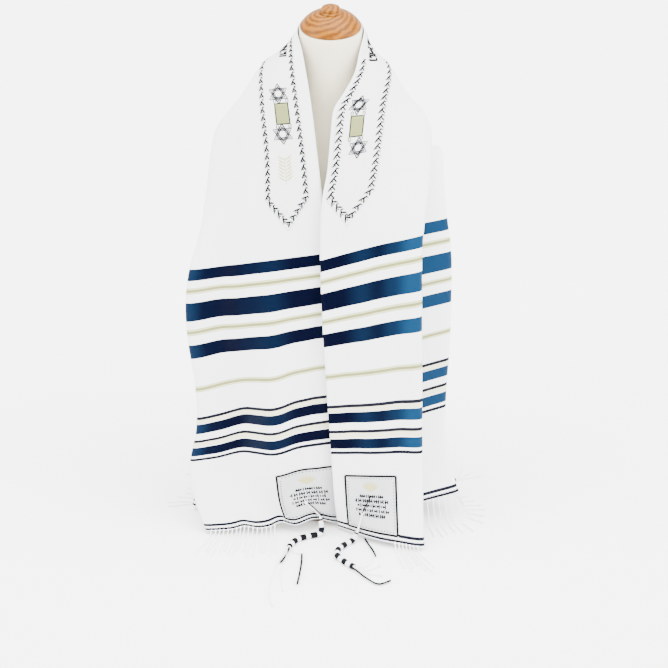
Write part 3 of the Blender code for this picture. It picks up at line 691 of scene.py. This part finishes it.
# side, hem distance and width of the upper star, the plaque, the lower star and the sprig (None for none),
# then how far they are drawn out along and across the cloth, which is gathered a little there
ornaments = [
    (-1, (0.712, 0.063), (0.681, 0.059), (0.650, 0.063), (0.595, 0.064), 1.05, 1.45),
    (1, (0.692, 0.031), (0.658, 0.033), (0.624, 0.038), None, 1.10, 0.92),
]
star_threads = []
plaque_plates = []
plaque_bars = []
plaque_edges = []
sprig_threads = []
for side, high_star, plaque, low_star, sprig, drawn_long, drawn_wide in ornaments:
    for hem, width in (high_star, low_star):
        along = side * (cloth_half_length - hem)
        star_threads += star_lines(along, width, drawn_long, drawn_wide, star_radius)
    along = side * (cloth_half_length - plaque[0])
    width = plaque[1]
    rows = along + np.linspace(-plaque_half_long, plaque_half_long, 13)
    bars = width + np.linspace(-plaque_half_wide, plaque_half_wide, 9) * drawn_wide
    grid_u, grid_v = np.meshgrid(rows, bars, indexing="ij")
    plate_points = on_cloth(grid_u, grid_v, thread_rise + 0.0002)[0]
    plaque_plates.append((plate_points, grid_u, grid_v))
    for row in rows[2:-1:2]:
        plaque_bars.append(([row] * 3, bars[[1, 4, -2]], 0.0005, thread_rise + 0.0004, 0.0003))
    long_share = plaque_half_long + 0.0008
    wide_share = plaque_half_wide + 0.0008
    around = walk_round(square_corners + square_corners[:1], quarters)
    frame_shape = [(x * long_share, y * wide_share * drawn_wide) for x, y in around]
    plaque_edges.append(loop_lines(frame_shape + frame_shape[:1], along, width, 0, 1, 0.0010))
    for sx, sy in ((-1, -1), (-1, 1), (1, -1), (1, 1)):
        curl = []
        for k in range(9):
            angle = k * 0.75
            reach = 0.0042 - 0.0003 * k
            curl_x = sx * (long_share + 0.004 - reach * math.cos(angle))
            curl_y = sy * (wide_share - 0.001 + reach * math.sin(angle) * 0.6) * drawn_wide
            curl.append((curl_x, curl_y))
        plaque_edges.append(loop_lines(curl, along, width, 0, 1, 0.00060))
    if sprig is None:
        continue
    along = side * (cloth_half_length - sprig[0])
    width = sprig[1]
    stem = [(0.020 - 0.005 * k, 0.0009 * math.sin(k * 0.9)) for k in range(9)]
    sprig_threads.append(loop_lines(stem, along, width, 0, 1, 0.00045))
    for k in range(7):
        base = 0.016 - 0.0052 * k
        for way in (-1, 1):
            leaf = [(0, 0.0006), (0.0030, 0.0052), (0.0072, 0.0092)]
            leaf = [(base + x, y * way * drawn_wide) for x, y in leaf]
            sprig_threads.append(loop_lines(leaf, along, width, 0, 1, [0.0004, 0.0012, 0.0003]))

# a bold row of lozenges, bars and hooks round the back of the neck
neck_row = []
neck_step = 0.0098
for k in range(-14, 15):
    u = k * neck_step
    side = smooth_step(-0.1, 0.1, u)
    v = 0.048 * (1 - side) + (0.020 + 0.012 * smooth_step(0.085, 0.130, u)) * side
    if k % 3 == 0:
        lozenge = [(-0.0038, 0), (-0.0010, 0.0001), (0.0010, 0.0001), (0.0038, 0)]
        neck_row.append(loop_lines(lozenge, u, v, 0, 1.2, [0.0006, 0.0085, 0.0085, 0.0006]))
    elif k % 3 == 1:
        for ahead in (-0.0024, 0.0024):
            neck_row.append(loop_lines([(ahead, -0.0092), (ahead, 0.0092)], u, v, 0, 1, 0.0017))
    else:
        hook = [(-0.0026, 0.0070), (0.0024, 0.0064), (0.0028, 0.0010), (0.0026, -0.0070)]
        neck_row.append(loop_lines(hook, u, v, 0, 1.3, 0.0018))
        neck_row.append(loop_lines([(-0.0026, -0.0016), (-0.0022, -0.0070)], u, v, 0, 1.3, 0.0017))

band_drawings = [
    ("neckband_vine", vine_lines, grey_thread),
    ("neckband_stars", star_threads + plaque_edges, grey_thread),
    ("neckband_plaque_bars", plaque_bars, olive_stripe),
    ("neckband_sprigs", sprig_threads, pale_thread),
    ("neckband_lozenges", neck_row, dark_thread),
]
for k, (plate_points, grid_u, grid_v) in enumerate(plaque_plates):
    plate = sheet_mesh(f"neckband_plaque_{k}", plate_points, grid_u, grid_v, gold_thread, 0.0005)
    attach(plate, "root")
for name, lines, paint in band_drawings:
    piece = thread_ribbons(name, lines, paint)
    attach(piece, "root")


# Corner patches
# Satin squares sewn on the four corners, with a dark outline, a row of dots inside it,
# a pale gold sprig and rows of small plain marks.
patch_low = (0.40, 0.41, 0.42)
patch_high = (0.54, 0.55, 0.55)
patch_satin = satin_paint(
    "patch_satin", (0.46, 0.47, 0.48), 0.45, (0.0009, 0.0018), 0.2, 55, patch_low, patch_high)
# name, side, width from the inner edge at the start and end, hem distance at the start and end
patch_places = [
    ("patch_left_inner", -1, 0.010, 0.100, 0.010, 0.108),
    ("patch_left_outer", -1, 0.460, 0.550, 0.010, 0.108),
    ("patch_right_inner", 1, 0.020, 0.110, 0.010, 0.108),
    ("patch_right_outer", 1, 0.460, 0.550, 0.010, 0.108),
]
# row height above the middle, half its length, mark spacing
mark_rows = [
    (0.012, 0.020, 0.0034),
    (0.004, 0.028, 0.0038),
    (-0.004, 0.024, 0.0035),
    (-0.012, 0.029, 0.0039),
    (-0.020, 0.022, 0.0036),
]
edge_inset = 0.0018
dot_inset = 0.0062
dot_step = 0.0052


def on_patch(shape, half):
    # a line on the patch in work, with x across it and y up it from its middle
    us = [side * (cloth_half_length - middle_hem - y) for x, y in shape]
    vs = [middle_width - side * x for x, y in shape]
    return (us, vs, half, thread_rise, thread_depth)


for name, side, start_width, end_width, start_hem, end_hem in patch_places:
    hems = np.linspace(start_hem, end_hem, 31)
    widths = np.linspace(start_width, end_width, 31)
    grid_hem, grid_v = np.meshgrid(hems, widths, indexing="ij")
    grid_u = side * (cloth_half_length - grid_hem)
    if side > 0:
        grid_u = grid_u[::-1]
        grid_hem = grid_hem[::-1]
    points = on_cloth(grid_u, grid_v, band_rise)[0]
    square = sheet_mesh(name + "_satin", points, grid_hem, grid_v, patch_satin, band_wall)
    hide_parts(name)
    middle_hem = (start_hem + end_hem) / 2
    middle_width = (start_width + end_width) / 2
    half_hem = (end_hem - start_hem) / 2
    half_width = (end_width - start_width) / 2
    dark_marks = []
    around = square_corners + square_corners[:1]
    for ends in zip(around, around[1:]):
        edge = []
        for x, y in walk_round(ends, np.linspace(0, 1, 37)):
            edge.append((x * (half_width - edge_inset), y * (half_hem - edge_inset)))
        dark_marks.append(on_patch(edge, 0.0017))
    for k in range(-7, 8):
        for x, y in ((k * dot_step, half_hem - dot_inset), (k * dot_step, dot_inset - half_hem),
                     (half_width - dot_inset, k * dot_step), (dot_inset - half_width, k * dot_step)):
            dark_marks.append(on_patch([(x - 0.0008, y), (x + 0.0008, y)], 0.0008))
    for row, (height, reach, spacing) in enumerate(mark_rows):
        for k, x in enumerate(np.arange(-reach, reach, spacing)):
            tall = 0.0021 + 0.0007 * ((k * k + row) % 3)
            dark_marks.append(on_patch([(x, height - tall), (x, height + tall)], 0.0010))
            if (k * (k + row)) % 5 < 2:
                slant = [(x, height + 0.001), (x + spacing * 0.8, height - 0.001)]
                dark_marks.append(on_patch(slant, 0.0010))
    marks = thread_ribbons(name + "_marks", dark_marks, dark_thread)
    gold_leaves = []
    for k in range(-3, 4):
        bend = k * 0.30
        tip = (math.sin(bend) * 0.018, 0.021 + math.cos(bend) * 0.016)
        middle = (math.sin(bend) * 0.010, 0.021 + math.cos(bend) * 0.009)
        gold_leaves.append(on_patch([(0, 0.0205), middle, tip], [0.0008, 0.0022, 0.0006]))
    sprig = thread_ribbons(name + "_sprig", gold_leaves, pale_thread)
    for piece in (square, marks, sprig):
        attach(piece, "root")


# Fringe
# Two-ply white cord strands knotted into the hem. They fall from it and lie out over the surface.
cord_white, cord_tree, cord_shader = new_material(
    "white_cord", (0.86, 0.87, 0.86), 0.75, {"Sheen Weight": 0.2})
cord_place = cord_tree.nodes.new("ShaderNodeTexCoord").outputs["Object"]
cord_low = (0.80, 0.81, 0.80)
cord_high = (0.91, 0.92, 0.91)
cord_noise = noise_colour(cord_tree, cord_shader, cord_place, {"Scale": 900}, cord_low, cord_high)
add_bump(cord_tree, cord_shader, cord_noise, {"Strength": 0.3, "Distance": 0.0002})


def smooth_path(posts, step):
    # a curve through the posts, cut at even steps
    posts = np.array(posts, float)
    stops = run_along(posts)
    count = max(6, int(stops[-1] / step))
    wanted = np.linspace(0, stops[-1], count)
    return np.stack([spline(stops, posts[:, k], wanted) for k in range(3)], axis=1)


def path_frames(path):
    # two directions across the path at each step, carried along it without twist
    heading = np.gradient(path, axis=0)
    heading = heading / np.linalg.norm(heading, axis=1, keepdims=True)
    side = np.cross(heading[0], (0.0, 0.0, 1.0))
    if np.linalg.norm(side) < 0.1:
        side = np.cross(heading[0], (0.0, 1.0, 0.0))
    sides = []
    for ahead in heading:
        side = side - ahead * (side @ ahead)
        side = side / np.linalg.norm(side)
        sides.append(side)
    sides = np.array(sides)
    return sides, np.cross(heading, sides)


def ring_faces(first, count, ring):
    # the faces of a closed tube: rings of points one after the other, and its two ends
    faces = []
    for i in range(count - 1):
        for k in range(ring):
            a = first + i * ring + k
            b = first + i * ring + (k + 1) % ring
            faces.append((a, b, b + ring, a + ring))
    last = first + (count - 1) * ring
    faces.append(tuple(first + k for k in reversed(range(ring))))
    faces.append(tuple(last + k for k in range(ring)))
    return faces


def tube_faces(points, faces, path, radius, ring):
    # adds a closed round tube along a path to the lists
    sides, ups = path_frames(path)
    radius = np.broadcast_to(radius, (len(path),))
    faces += ring_faces(len(points), len(path), ring)
    for p, s, u, r in zip(path, sides, ups, radius):
        for k in range(ring):
            angle = full_turn * k / ring
            points.append(p + (s * math.cos(angle) + u * math.sin(angle)) * r)


def twisted_pair(points, faces, path, radius, pitch, phase=0.0):
    # two plies wound round each other
    sides, ups = path_frames(path)
    run = run_along(path)
    for ply in (0, math.pi):
        angle = full_turn * run / pitch + phase + ply
        offset = sides * np.cos(angle)[:, None] + ups * np.sin(angle)[:, None]
        tube_faces(points, faces, path + offset * radius * 0.52, radius * 0.56, 5)


strand_radius = 0.0011
strand_rest = 0.0020
strand_cut = 0.0011
strand_pitch = 0.0042
knot_cut = 0.0004
knot_radius = 0.0015
tail_radius = 0.0014
knot_place = 0.0022
knot_rise = cloth_wall / 2 + 0.0014
# name, side, first width, step, count, headings in degrees by width, length on the surface
fringes = [
    ("fringe_left_front", -1, 0.118, 0.0068, 16, [(0.10, -86), (0.22, -106)], 0.060),
    ("fringe_left_side", -1, 0.463, 0.0095, 5, [(0.46, -165), (0.50, -205), (0.56, -230)], 0.050),
    ("fringe_right_front", 1, 0.103, 0.0066, 7, [(0.10, -80), (0.15, -62)], 0.060),
    ("fringe_right_side", 1, 0.398, 0.0090, 12,
     [(0.39, -82), (0.44, -66), (0.465, -10), (0.50, 25), (0.56, 45)], 0.030),
]
for name, side, first_width, step, count, headings, length in fringes:
    points = []
    faces = []
    for k in range(count):
        width = first_width + step * k
        hem, out = on_cloth(side * (cloth_half_length - knot_place), width, knot_rise)
        turn = np.interp(width, [h[0] for h in headings], [h[1] for h in headings])
        angle = math.radians(turn + 1.2 * math.sin(k * 2.4))
        flat = np.array([math.cos(angle), math.sin(angle), 0.0])
        reach = length * (0.85 + 0.15 * math.sin(k * 1.7))
        sway = np.array([-flat[1], flat[0], 0.0]) * 0.0014 * math.sin(k * 3.1)
        landed = hem + out * 0.003 + flat * (0.007 + 0.4 * (hem[2] - strand_rest))
        landed[2] = strand_rest
        lift = (hem + landed) / 2
        lift[2] = max(strand_rest, landed[2] + 0.35 * (hem[2] - landed[2]))
        posts = [hem, lift, landed, landed + flat * reach * 0.30 + sway]
        posts += [landed + flat * reach * 0.65 - sway, landed + flat * reach]
        path = smooth_path(posts, strand_cut)
        path[:, 2] = np.maximum(path[:, 2], strand_radius + 0.0004)
        twisted_pair(points, faces, path, strand_radius, strand_pitch, phase=k * 0.9)
        knot = np.array([hem - flat * 0.0002, hem + (path[3] - path[0]) * 0.7])
        knot_path = smooth_path([knot[0], knot.mean(0), knot[1]], knot_cut)
        tube_faces(points, faces, knot_path, knot_radius, 8)
        tube_faces(points, faces, smooth_path(path[-4:-1], knot_cut), tail_radius, 8)
    piece = add_mesh(name + "_strands", points, faces, cord_white)
    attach(piece, "root")
    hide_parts(name)


# Corner tassels
# Each is a bundle of white threads drawn through the corner of the patch, wound with white and dark thread,
# then left loose. At the front corners some of the threads are dark.
dark_cord = new_material("dark_tassel_thread", (0.0015, 0.002, 0.004), 0.7, dull)[0]
wound_radius = 0.0042
wound_rest = 0.0049
winding_pitch = 0.0013
block_length = 0.0185
thread_core = 0.0019
winding_ring = 20
loose_height = 0.0032
loose_rest = 0.0030
loose_cut = 0.0014
loose_pitch = 0.0050
dark_radius = 0.0018
white_radius = 0.0013
dark_on_patch_radius = 0.0012
dark_coil = 0.00080
white_coil = 0.00060
# name, side, width and hem distance where it leaves the patch, the same lower down, floor places,
# strands, which strands are dark, and more dark ends: on the patch by width, hem distance and rise,
# on the surface by x and y
tassels = [
    ("tassel_left_inner", -1, (0.062, 0.042), (0.047, 0.010),
     [(-0.018, -0.138), (-0.034, -0.144), (-0.050, -0.152), (-0.061, -0.164), (-0.067, -0.180)],
     [[(-0.078, -0.205), (-0.088, -0.250), (-0.091, -0.325), (-0.085, -0.349)],
      [(-0.070, -0.205), (-0.078, -0.255), (-0.072, -0.305)],
      [(-0.070, -0.198), (-0.079, -0.224)],
      [(-0.058, -0.192), (-0.046, -0.197)]], [2],
     [[(0.0600, 0.041, 0.0040), (0.0520, 0.026, 0.0052), (0.0445, 0.010, 0.0070)],
      [(-0.046, -0.198), (-0.046, -0.222), (-0.048, -0.254), (-0.051, -0.286)]]),
    ("tassel_right_inner", 1, (0.050, 0.042), (0.042, 0.010),
     [(0.034, -0.160), (0.022, -0.172), (0.012, -0.187), (0.010, -0.204), (0.021, -0.223), (0.036, -0.240)],
     [[(0.054, -0.268), (0.074, -0.286), (0.092, -0.276)],
      [(0.056, -0.256), (0.080, -0.262)],
      [(0.058, -0.246), (0.078, -0.232)],
      [(0.056, -0.234), (0.068, -0.204)]], [0],
     [[(0.050, 0.042, 0.0050), (0.054, 0.052, 0.0036), (0.062, 0.066, 0.0032), (0.064, 0.072, 0.0032)],
      [(0.055, -0.150), (0.062, -0.172), (0.068, -0.190), (0.071, -0.205)]]),
    ("tassel_left_outer", -1, (0.520, 0.040), (0.526, 0.010),
     [(-0.176, 0.034), (-0.196, 0.042), (-0.214, 0.056)],
     [[(-0.224, 0.090), (-0.236, 0.112)],
      [(-0.232, 0.082), (-0.252, 0.098)],
      [(-0.236, 0.072), (-0.262, 0.080)]], [], []),
    ("tassel_right_outer", 1, (0.520, 0.040), (0.526, 0.010),
     [(0.184, 0.026), (0.204, 0.036), (0.220, 0.052)],
     [[(0.246, 0.062), (0.270, 0.072)],
      [(0.240, 0.072), (0.256, 0.090)],
      [(0.230, 0.078), (0.238, 0.102)]], [], []),
]
for name, side, start, lower, floor_places, strand_ends, dark_strands, dark_ends in tassels:
    white_points = []
    white_faces = []
    dark_points = []
    dark_faces = []
    top, out = on_cloth(side * (cloth_half_length - start[1]), start[0], 0.0030)
    over, out = on_cloth(side * (cloth_half_length - lower[1]), lower[0], 0.0062)
    landing = [np.array([x, y, wound_rest]) for x, y in floor_places]
    bundle = smooth_path([top, (top + over) / 2, over], 0.0015)
    for k in range(3):
        phase = full_turn * k / 3
        sides, ups = path_frames(bundle)
        offset = sides * math.cos(phase) + ups * math.sin(phase)
        twisted_pair(white_points, white_faces, bundle + offset * 0.0011, 0.0010, 0.0045, phase=phase)
    bead = smooth_path([top - out * 0.001, top, top + out * 0.0012], 0.0003)
    tube_faces(white_points, white_faces, bead, 0.0026, 12)
    wound = smooth_path([over] + landing, winding_pitch)
    wound[:, 2] = np.maximum(wound[:, 2], wound_rest)
    swelling = smooth_step(0, 8, np.arange(len(wound)))
    core = thread_core + (wound_radius - thread_core - 0.0006) * swelling
    tube_faces(white_points, white_faces, wound, core, 10)
    sides, ups = path_frames(wound)
    for i in range(3, len(wound) - 1):
        coil = []
        for q in range(winding_ring + 1):
            share = q / winding_ring
            angle = full_turn * q / winding_ring
            middle = wound[i] * (1 - share) + wound[i + 1] * share
            coil.append(middle + (sides[i] * math.cos(angle) + ups[i] * math.sin(angle)) * (core[i] + 0.0004))
        if (i * winding_pitch + 0.004) % block_length < block_length * 0.55:
            tube_faces(dark_points, dark_faces, np.array(coil), dark_coil, 5)
        else:
            tube_faces(white_points, white_faces, np.array(coil), white_coil, 5)
    last_point = wound[-1]
    back = wound[-4] - wound[-1]
    back = back / np.linalg.norm(back)
    for k, ends in enumerate(strand_ends):
        aside = np.cross(back, (0.0, 0.0, 1.0)) * (0.0022 * (k - (len(strand_ends) - 1) / 2))
        posts = [last_point + back * 0.003 + aside, last_point - back * 0.003 + aside]
        posts += [np.array([x, y, loose_height]) for x, y in ends]
        path = smooth_path(posts, loose_cut)
        path[:, 2] = np.maximum(path[:, 2], loose_rest)
        points, faces = (dark_points, dark_faces) if k in dark_strands else (white_points, white_faces)
        radius = dark_radius if k in dark_strands else white_radius
        twisted_pair(points, faces, path, radius, loose_pitch, phase=k)
        tube_faces(points, faces, smooth_path(path[-5:-2], 0.0005), 0.0016, 8)
    for marks in dark_ends:
        on_the_patch = len(marks[0]) == 3
        if on_the_patch:
            posts = [on_cloth(side * (cloth_half_length - hem), width, rise)[0] for width, hem, rise in marks]
        else:
            posts = [np.array([x, y, loose_height]) for x, y in marks]
        radius = dark_on_patch_radius if on_the_patch else dark_radius
        twisted_pair(dark_points, dark_faces, smooth_path(posts, loose_cut), radius, loose_pitch)
    white_part = add_mesh(name + "_white", white_points, white_faces, cord_white)
    dark_part = add_mesh(name + "_dark", dark_points, dark_faces, dark_cord)
    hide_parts(name)
    for piece in (white_part, dark_part):
        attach(piece, "root")


# Dress form
# A light torso with a slim neck, covered with stretched cream jersey. It has no limbs.
jersey_low = (0.68, 0.61, 0.43)
jersey_high = (0.78, 0.72, 0.55)
jersey_sheen = {"Sheen Weight": 0.2}
jersey = satin_paint(
    "cream_jersey", (0.84, 0.80, 0.72), 0.8, (0.0012, 0.0009), 0.3, 30, jersey_low, jersey_high, jersey_sheen)
cap_tilt = math.radians(17)
# height, half width, half depth, shift to the back, share of the neck's slope
torso_rings = [
    (0.300, 0.104, 0.078, 0.004, 0.0), (0.304, 0.110, 0.084, 0.004, 0.0), (0.360, 0.118, 0.086, 0.004, 0.0),
    (0.450, 0.126, 0.085, 0.004, 0.0), (0.520, 0.129, 0.082, 0.004, 0.0), (0.565, 0.126, 0.076, 0.004, 0.0),
    (0.598, 0.116, 0.068, 0.004, 0.0), (0.622, 0.103, 0.061, 0.004, 0.0), (0.642, 0.088, 0.056, 0.003, 0.0),
    (0.662, 0.072, 0.052, 0.002, 0.1), (0.684, 0.058, 0.0495, 0.001, 0.2), (0.706, 0.0500, 0.0485, 0.0, 0.4),
    (0.740, 0.0478, 0.0474, 0.0, 0.7), (0.775, 0.0480, 0.0480, 0.0, 0.95), (0.7975, 0.0480, 0.0480, 0.0, 1.0),
]
rings = np.array(torso_rings)
heights = np.concatenate([[0.300, 0.301, 0.3025], np.linspace(0.304, 0.7975, 110)])
profile = np.stack([spline(rings[:, 0], rings[:, k], heights) for k in range(1, 5)], axis=1)
ring_sides = 120
points = []
for height, (half_width, half_depth, shift, slope) in zip(heights, profile):
    for k in range(ring_sides):
        angle = full_turn * k / ring_sides
        y = half_depth * math.sin(angle)
        points.append((half_width * math.cos(angle), y + shift, height + y * math.tan(cap_tilt) * slope))
torso = add_mesh("torso_jersey", points, ring_faces(0, len(heights), ring_sides), jersey)
torso_girth = 0.66
spots = np.arange(len(points))
set_flat_place(torso, (spots % ring_sides) / ring_sides * torso_girth, heights[spots // ring_sides])
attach(torso, "root")
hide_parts("form_torso")


# Neck cap
# Turned light wood with a clear finish: a low dome with fine grooves and a flat button. It is set on the
# sloping top of the neck.
def turned(name, profile, paint, steps):
    # a profile of radius and height, turned round the upright axis
    edges = [(i, i + 1) for i in range(len(profile) - 1)]
    piece = add_mesh(name, [(r, 0, z) for r, z in profile], [], paint, edges=edges)
    spin = piece.modifiers.new("turn", "SCREW")
    spin.angle = full_turn
    spin.steps = steps
    spin.render_steps = steps
    spin.use_merge_vertices = True
    spin.merge_threshold = 0.00005
    spin.use_smooth_shade = True
    return piece


wood_inputs = {"Coat Weight": 0.03, "Specular IOR Level": 0.12, "Coat Roughness": 0.15}
wood, wood_tree, wood_shader = new_material("honey_wood", (0.72, 0.40, 0.16), 0.35, wood_inputs)
wood_place = wood_tree.nodes.new("ShaderNodeTexCoord").outputs["Object"]
shift_inputs = {"Location": (0.010, 0.004, 0), "Vector": wood_place}
wood_shift = new_node(wood_tree, "ShaderNodeMapping", shift_inputs)
shifted = wood_shift.outputs["Vector"]
ring_inputs = {"Scale": 45, "Distortion": 2.5, "Detail": 3, "Detail Scale": 2, "Vector": shifted}
wood_rings = new_node(wood_tree, "ShaderNodeTexWave", ring_inputs)
wood_rings.wave_type = "RINGS"
wood_rings.rings_direction = "Z"
wood_grain = new_node(wood_tree, "ShaderNodeTexNoise", {"Scale": 160, "Vector": wood_place})
ring_colour = mix_colour(wood_tree, wood_rings.outputs["Fac"], (0.060, 0.015, 0.0001), (0.27, 0.092, 0.0008))
grain_colour = mix_colour(wood_tree, wood_grain.outputs["Fac"], (0.075, 0.020, 0.0002), (0.30, 0.105, 0.0012))
grain_share = 0.35
wood_colour = mix_colour(wood_tree, grain_share, ring_colour, grain_colour)
wood_tree.links.new(wood_colour, wood_shader.inputs["Base Color"])
add_bump(wood_tree, wood_shader, wood_rings.outputs["Fac"], {"Strength": 0.15, "Distance": 0.0003})

# radius and height above the neck
cap_profile = [
    (0.0, 0.0335), (0.004, 0.0335), (0.009, 0.0333), (0.0115, 0.0329), (0.0133, 0.0318), (0.0143, 0.0302),
    (0.0146, 0.0288), (0.0142, 0.0276), (0.0140, 0.0270), (0.0150, 0.0266), (0.0162, 0.0261),
    (0.0168, 0.0253), (0.0168, 0.0245), (0.0163, 0.0239), (0.0168, 0.0236), (0.0205, 0.0231),
    (0.0240, 0.0222), (0.0246, 0.0216), (0.0252, 0.0217), (0.0290, 0.0199), (0.0325, 0.0177),
    (0.0331, 0.0170), (0.0337, 0.0170), (0.0370, 0.0144), (0.0400, 0.0116), (0.0426, 0.0088),
    (0.0444, 0.0064), (0.0458, 0.0046), (0.0464, 0.0034), (0.0466, 0.0020), (0.0463, 0.0008),
    (0.0458, 0.0), (0.0, 0.0),
]
neck_top = Vector((0, 0, 0.7975))
cap_up = Vector((0, -math.sin(cap_tilt), math.cos(cap_tilt)))
cap = turned("turned_cap", cap_profile, wood, 128)
cap.matrix_world = Matrix.Translation(neck_top + cap_up * 0.0003) @ Matrix.Rotation(cap_tilt, 4, "X")
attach(cap, "root")
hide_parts("neck_cap")


# Pole and foot
# A brushed steel tube holds the form up, screwed into a round turned wooden foot. The cloth hides both
# in front.
brushed, brushed_tree, brushed_shader = new_material(
    "brushed_steel", (0.62, 0.62, 0.64), 0.3, {"Metallic": 1})
brushed_place = brushed_tree.nodes.new("ShaderNodeTexCoord").outputs["Object"]
brush_inputs = {"Scale": (60, 60, 1400), "Vector": brushed_place}
brushed_stretch = new_node(brushed_tree, "ShaderNodeMapping", brush_inputs)
line_inputs = {"Scale": 1, "Vector": brushed_stretch.outputs["Vector"]}
brushed_lines = new_node(brushed_tree, "ShaderNodeTexNoise", line_inputs)
add_bump(brushed_tree, brushed_shader, brushed_lines.outputs["Fac"], {"Strength": 0.1, "Distance": 0.0002})
pole_radius = 0.0125
pole_low = 0.0183
pole_high = 0.2997
pole_profile = [(0.0, pole_high), (pole_radius, pole_high), (pole_radius, pole_low), (0.0, pole_low)]
pole = turned("steel_pole", pole_profile, brushed, 64)
foot_profile = [
    (0.0, 0.018), (0.010, 0.018), (0.018, 0.0179), (0.019, 0.0174), (0.020, 0.0176), (0.045, 0.0167),
    (0.066, 0.0157), (0.067, 0.0151), (0.068, 0.0155), (0.080, 0.0149), (0.0855, 0.0140), (0.0895, 0.0122),
    (0.0915, 0.0100), (0.0920, 0.0080), (0.0920, 0.0030), (0.0912, 0.0010), (0.0897, 0.0), (0.0, 0.0),
]
foot = turned("wooden_foot", foot_profile, wood, 128)
for piece, node, slot in ((pole, "pole", "steel"), (foot, "foot", "honey_wood")):
    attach(piece, "root")
    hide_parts(node)
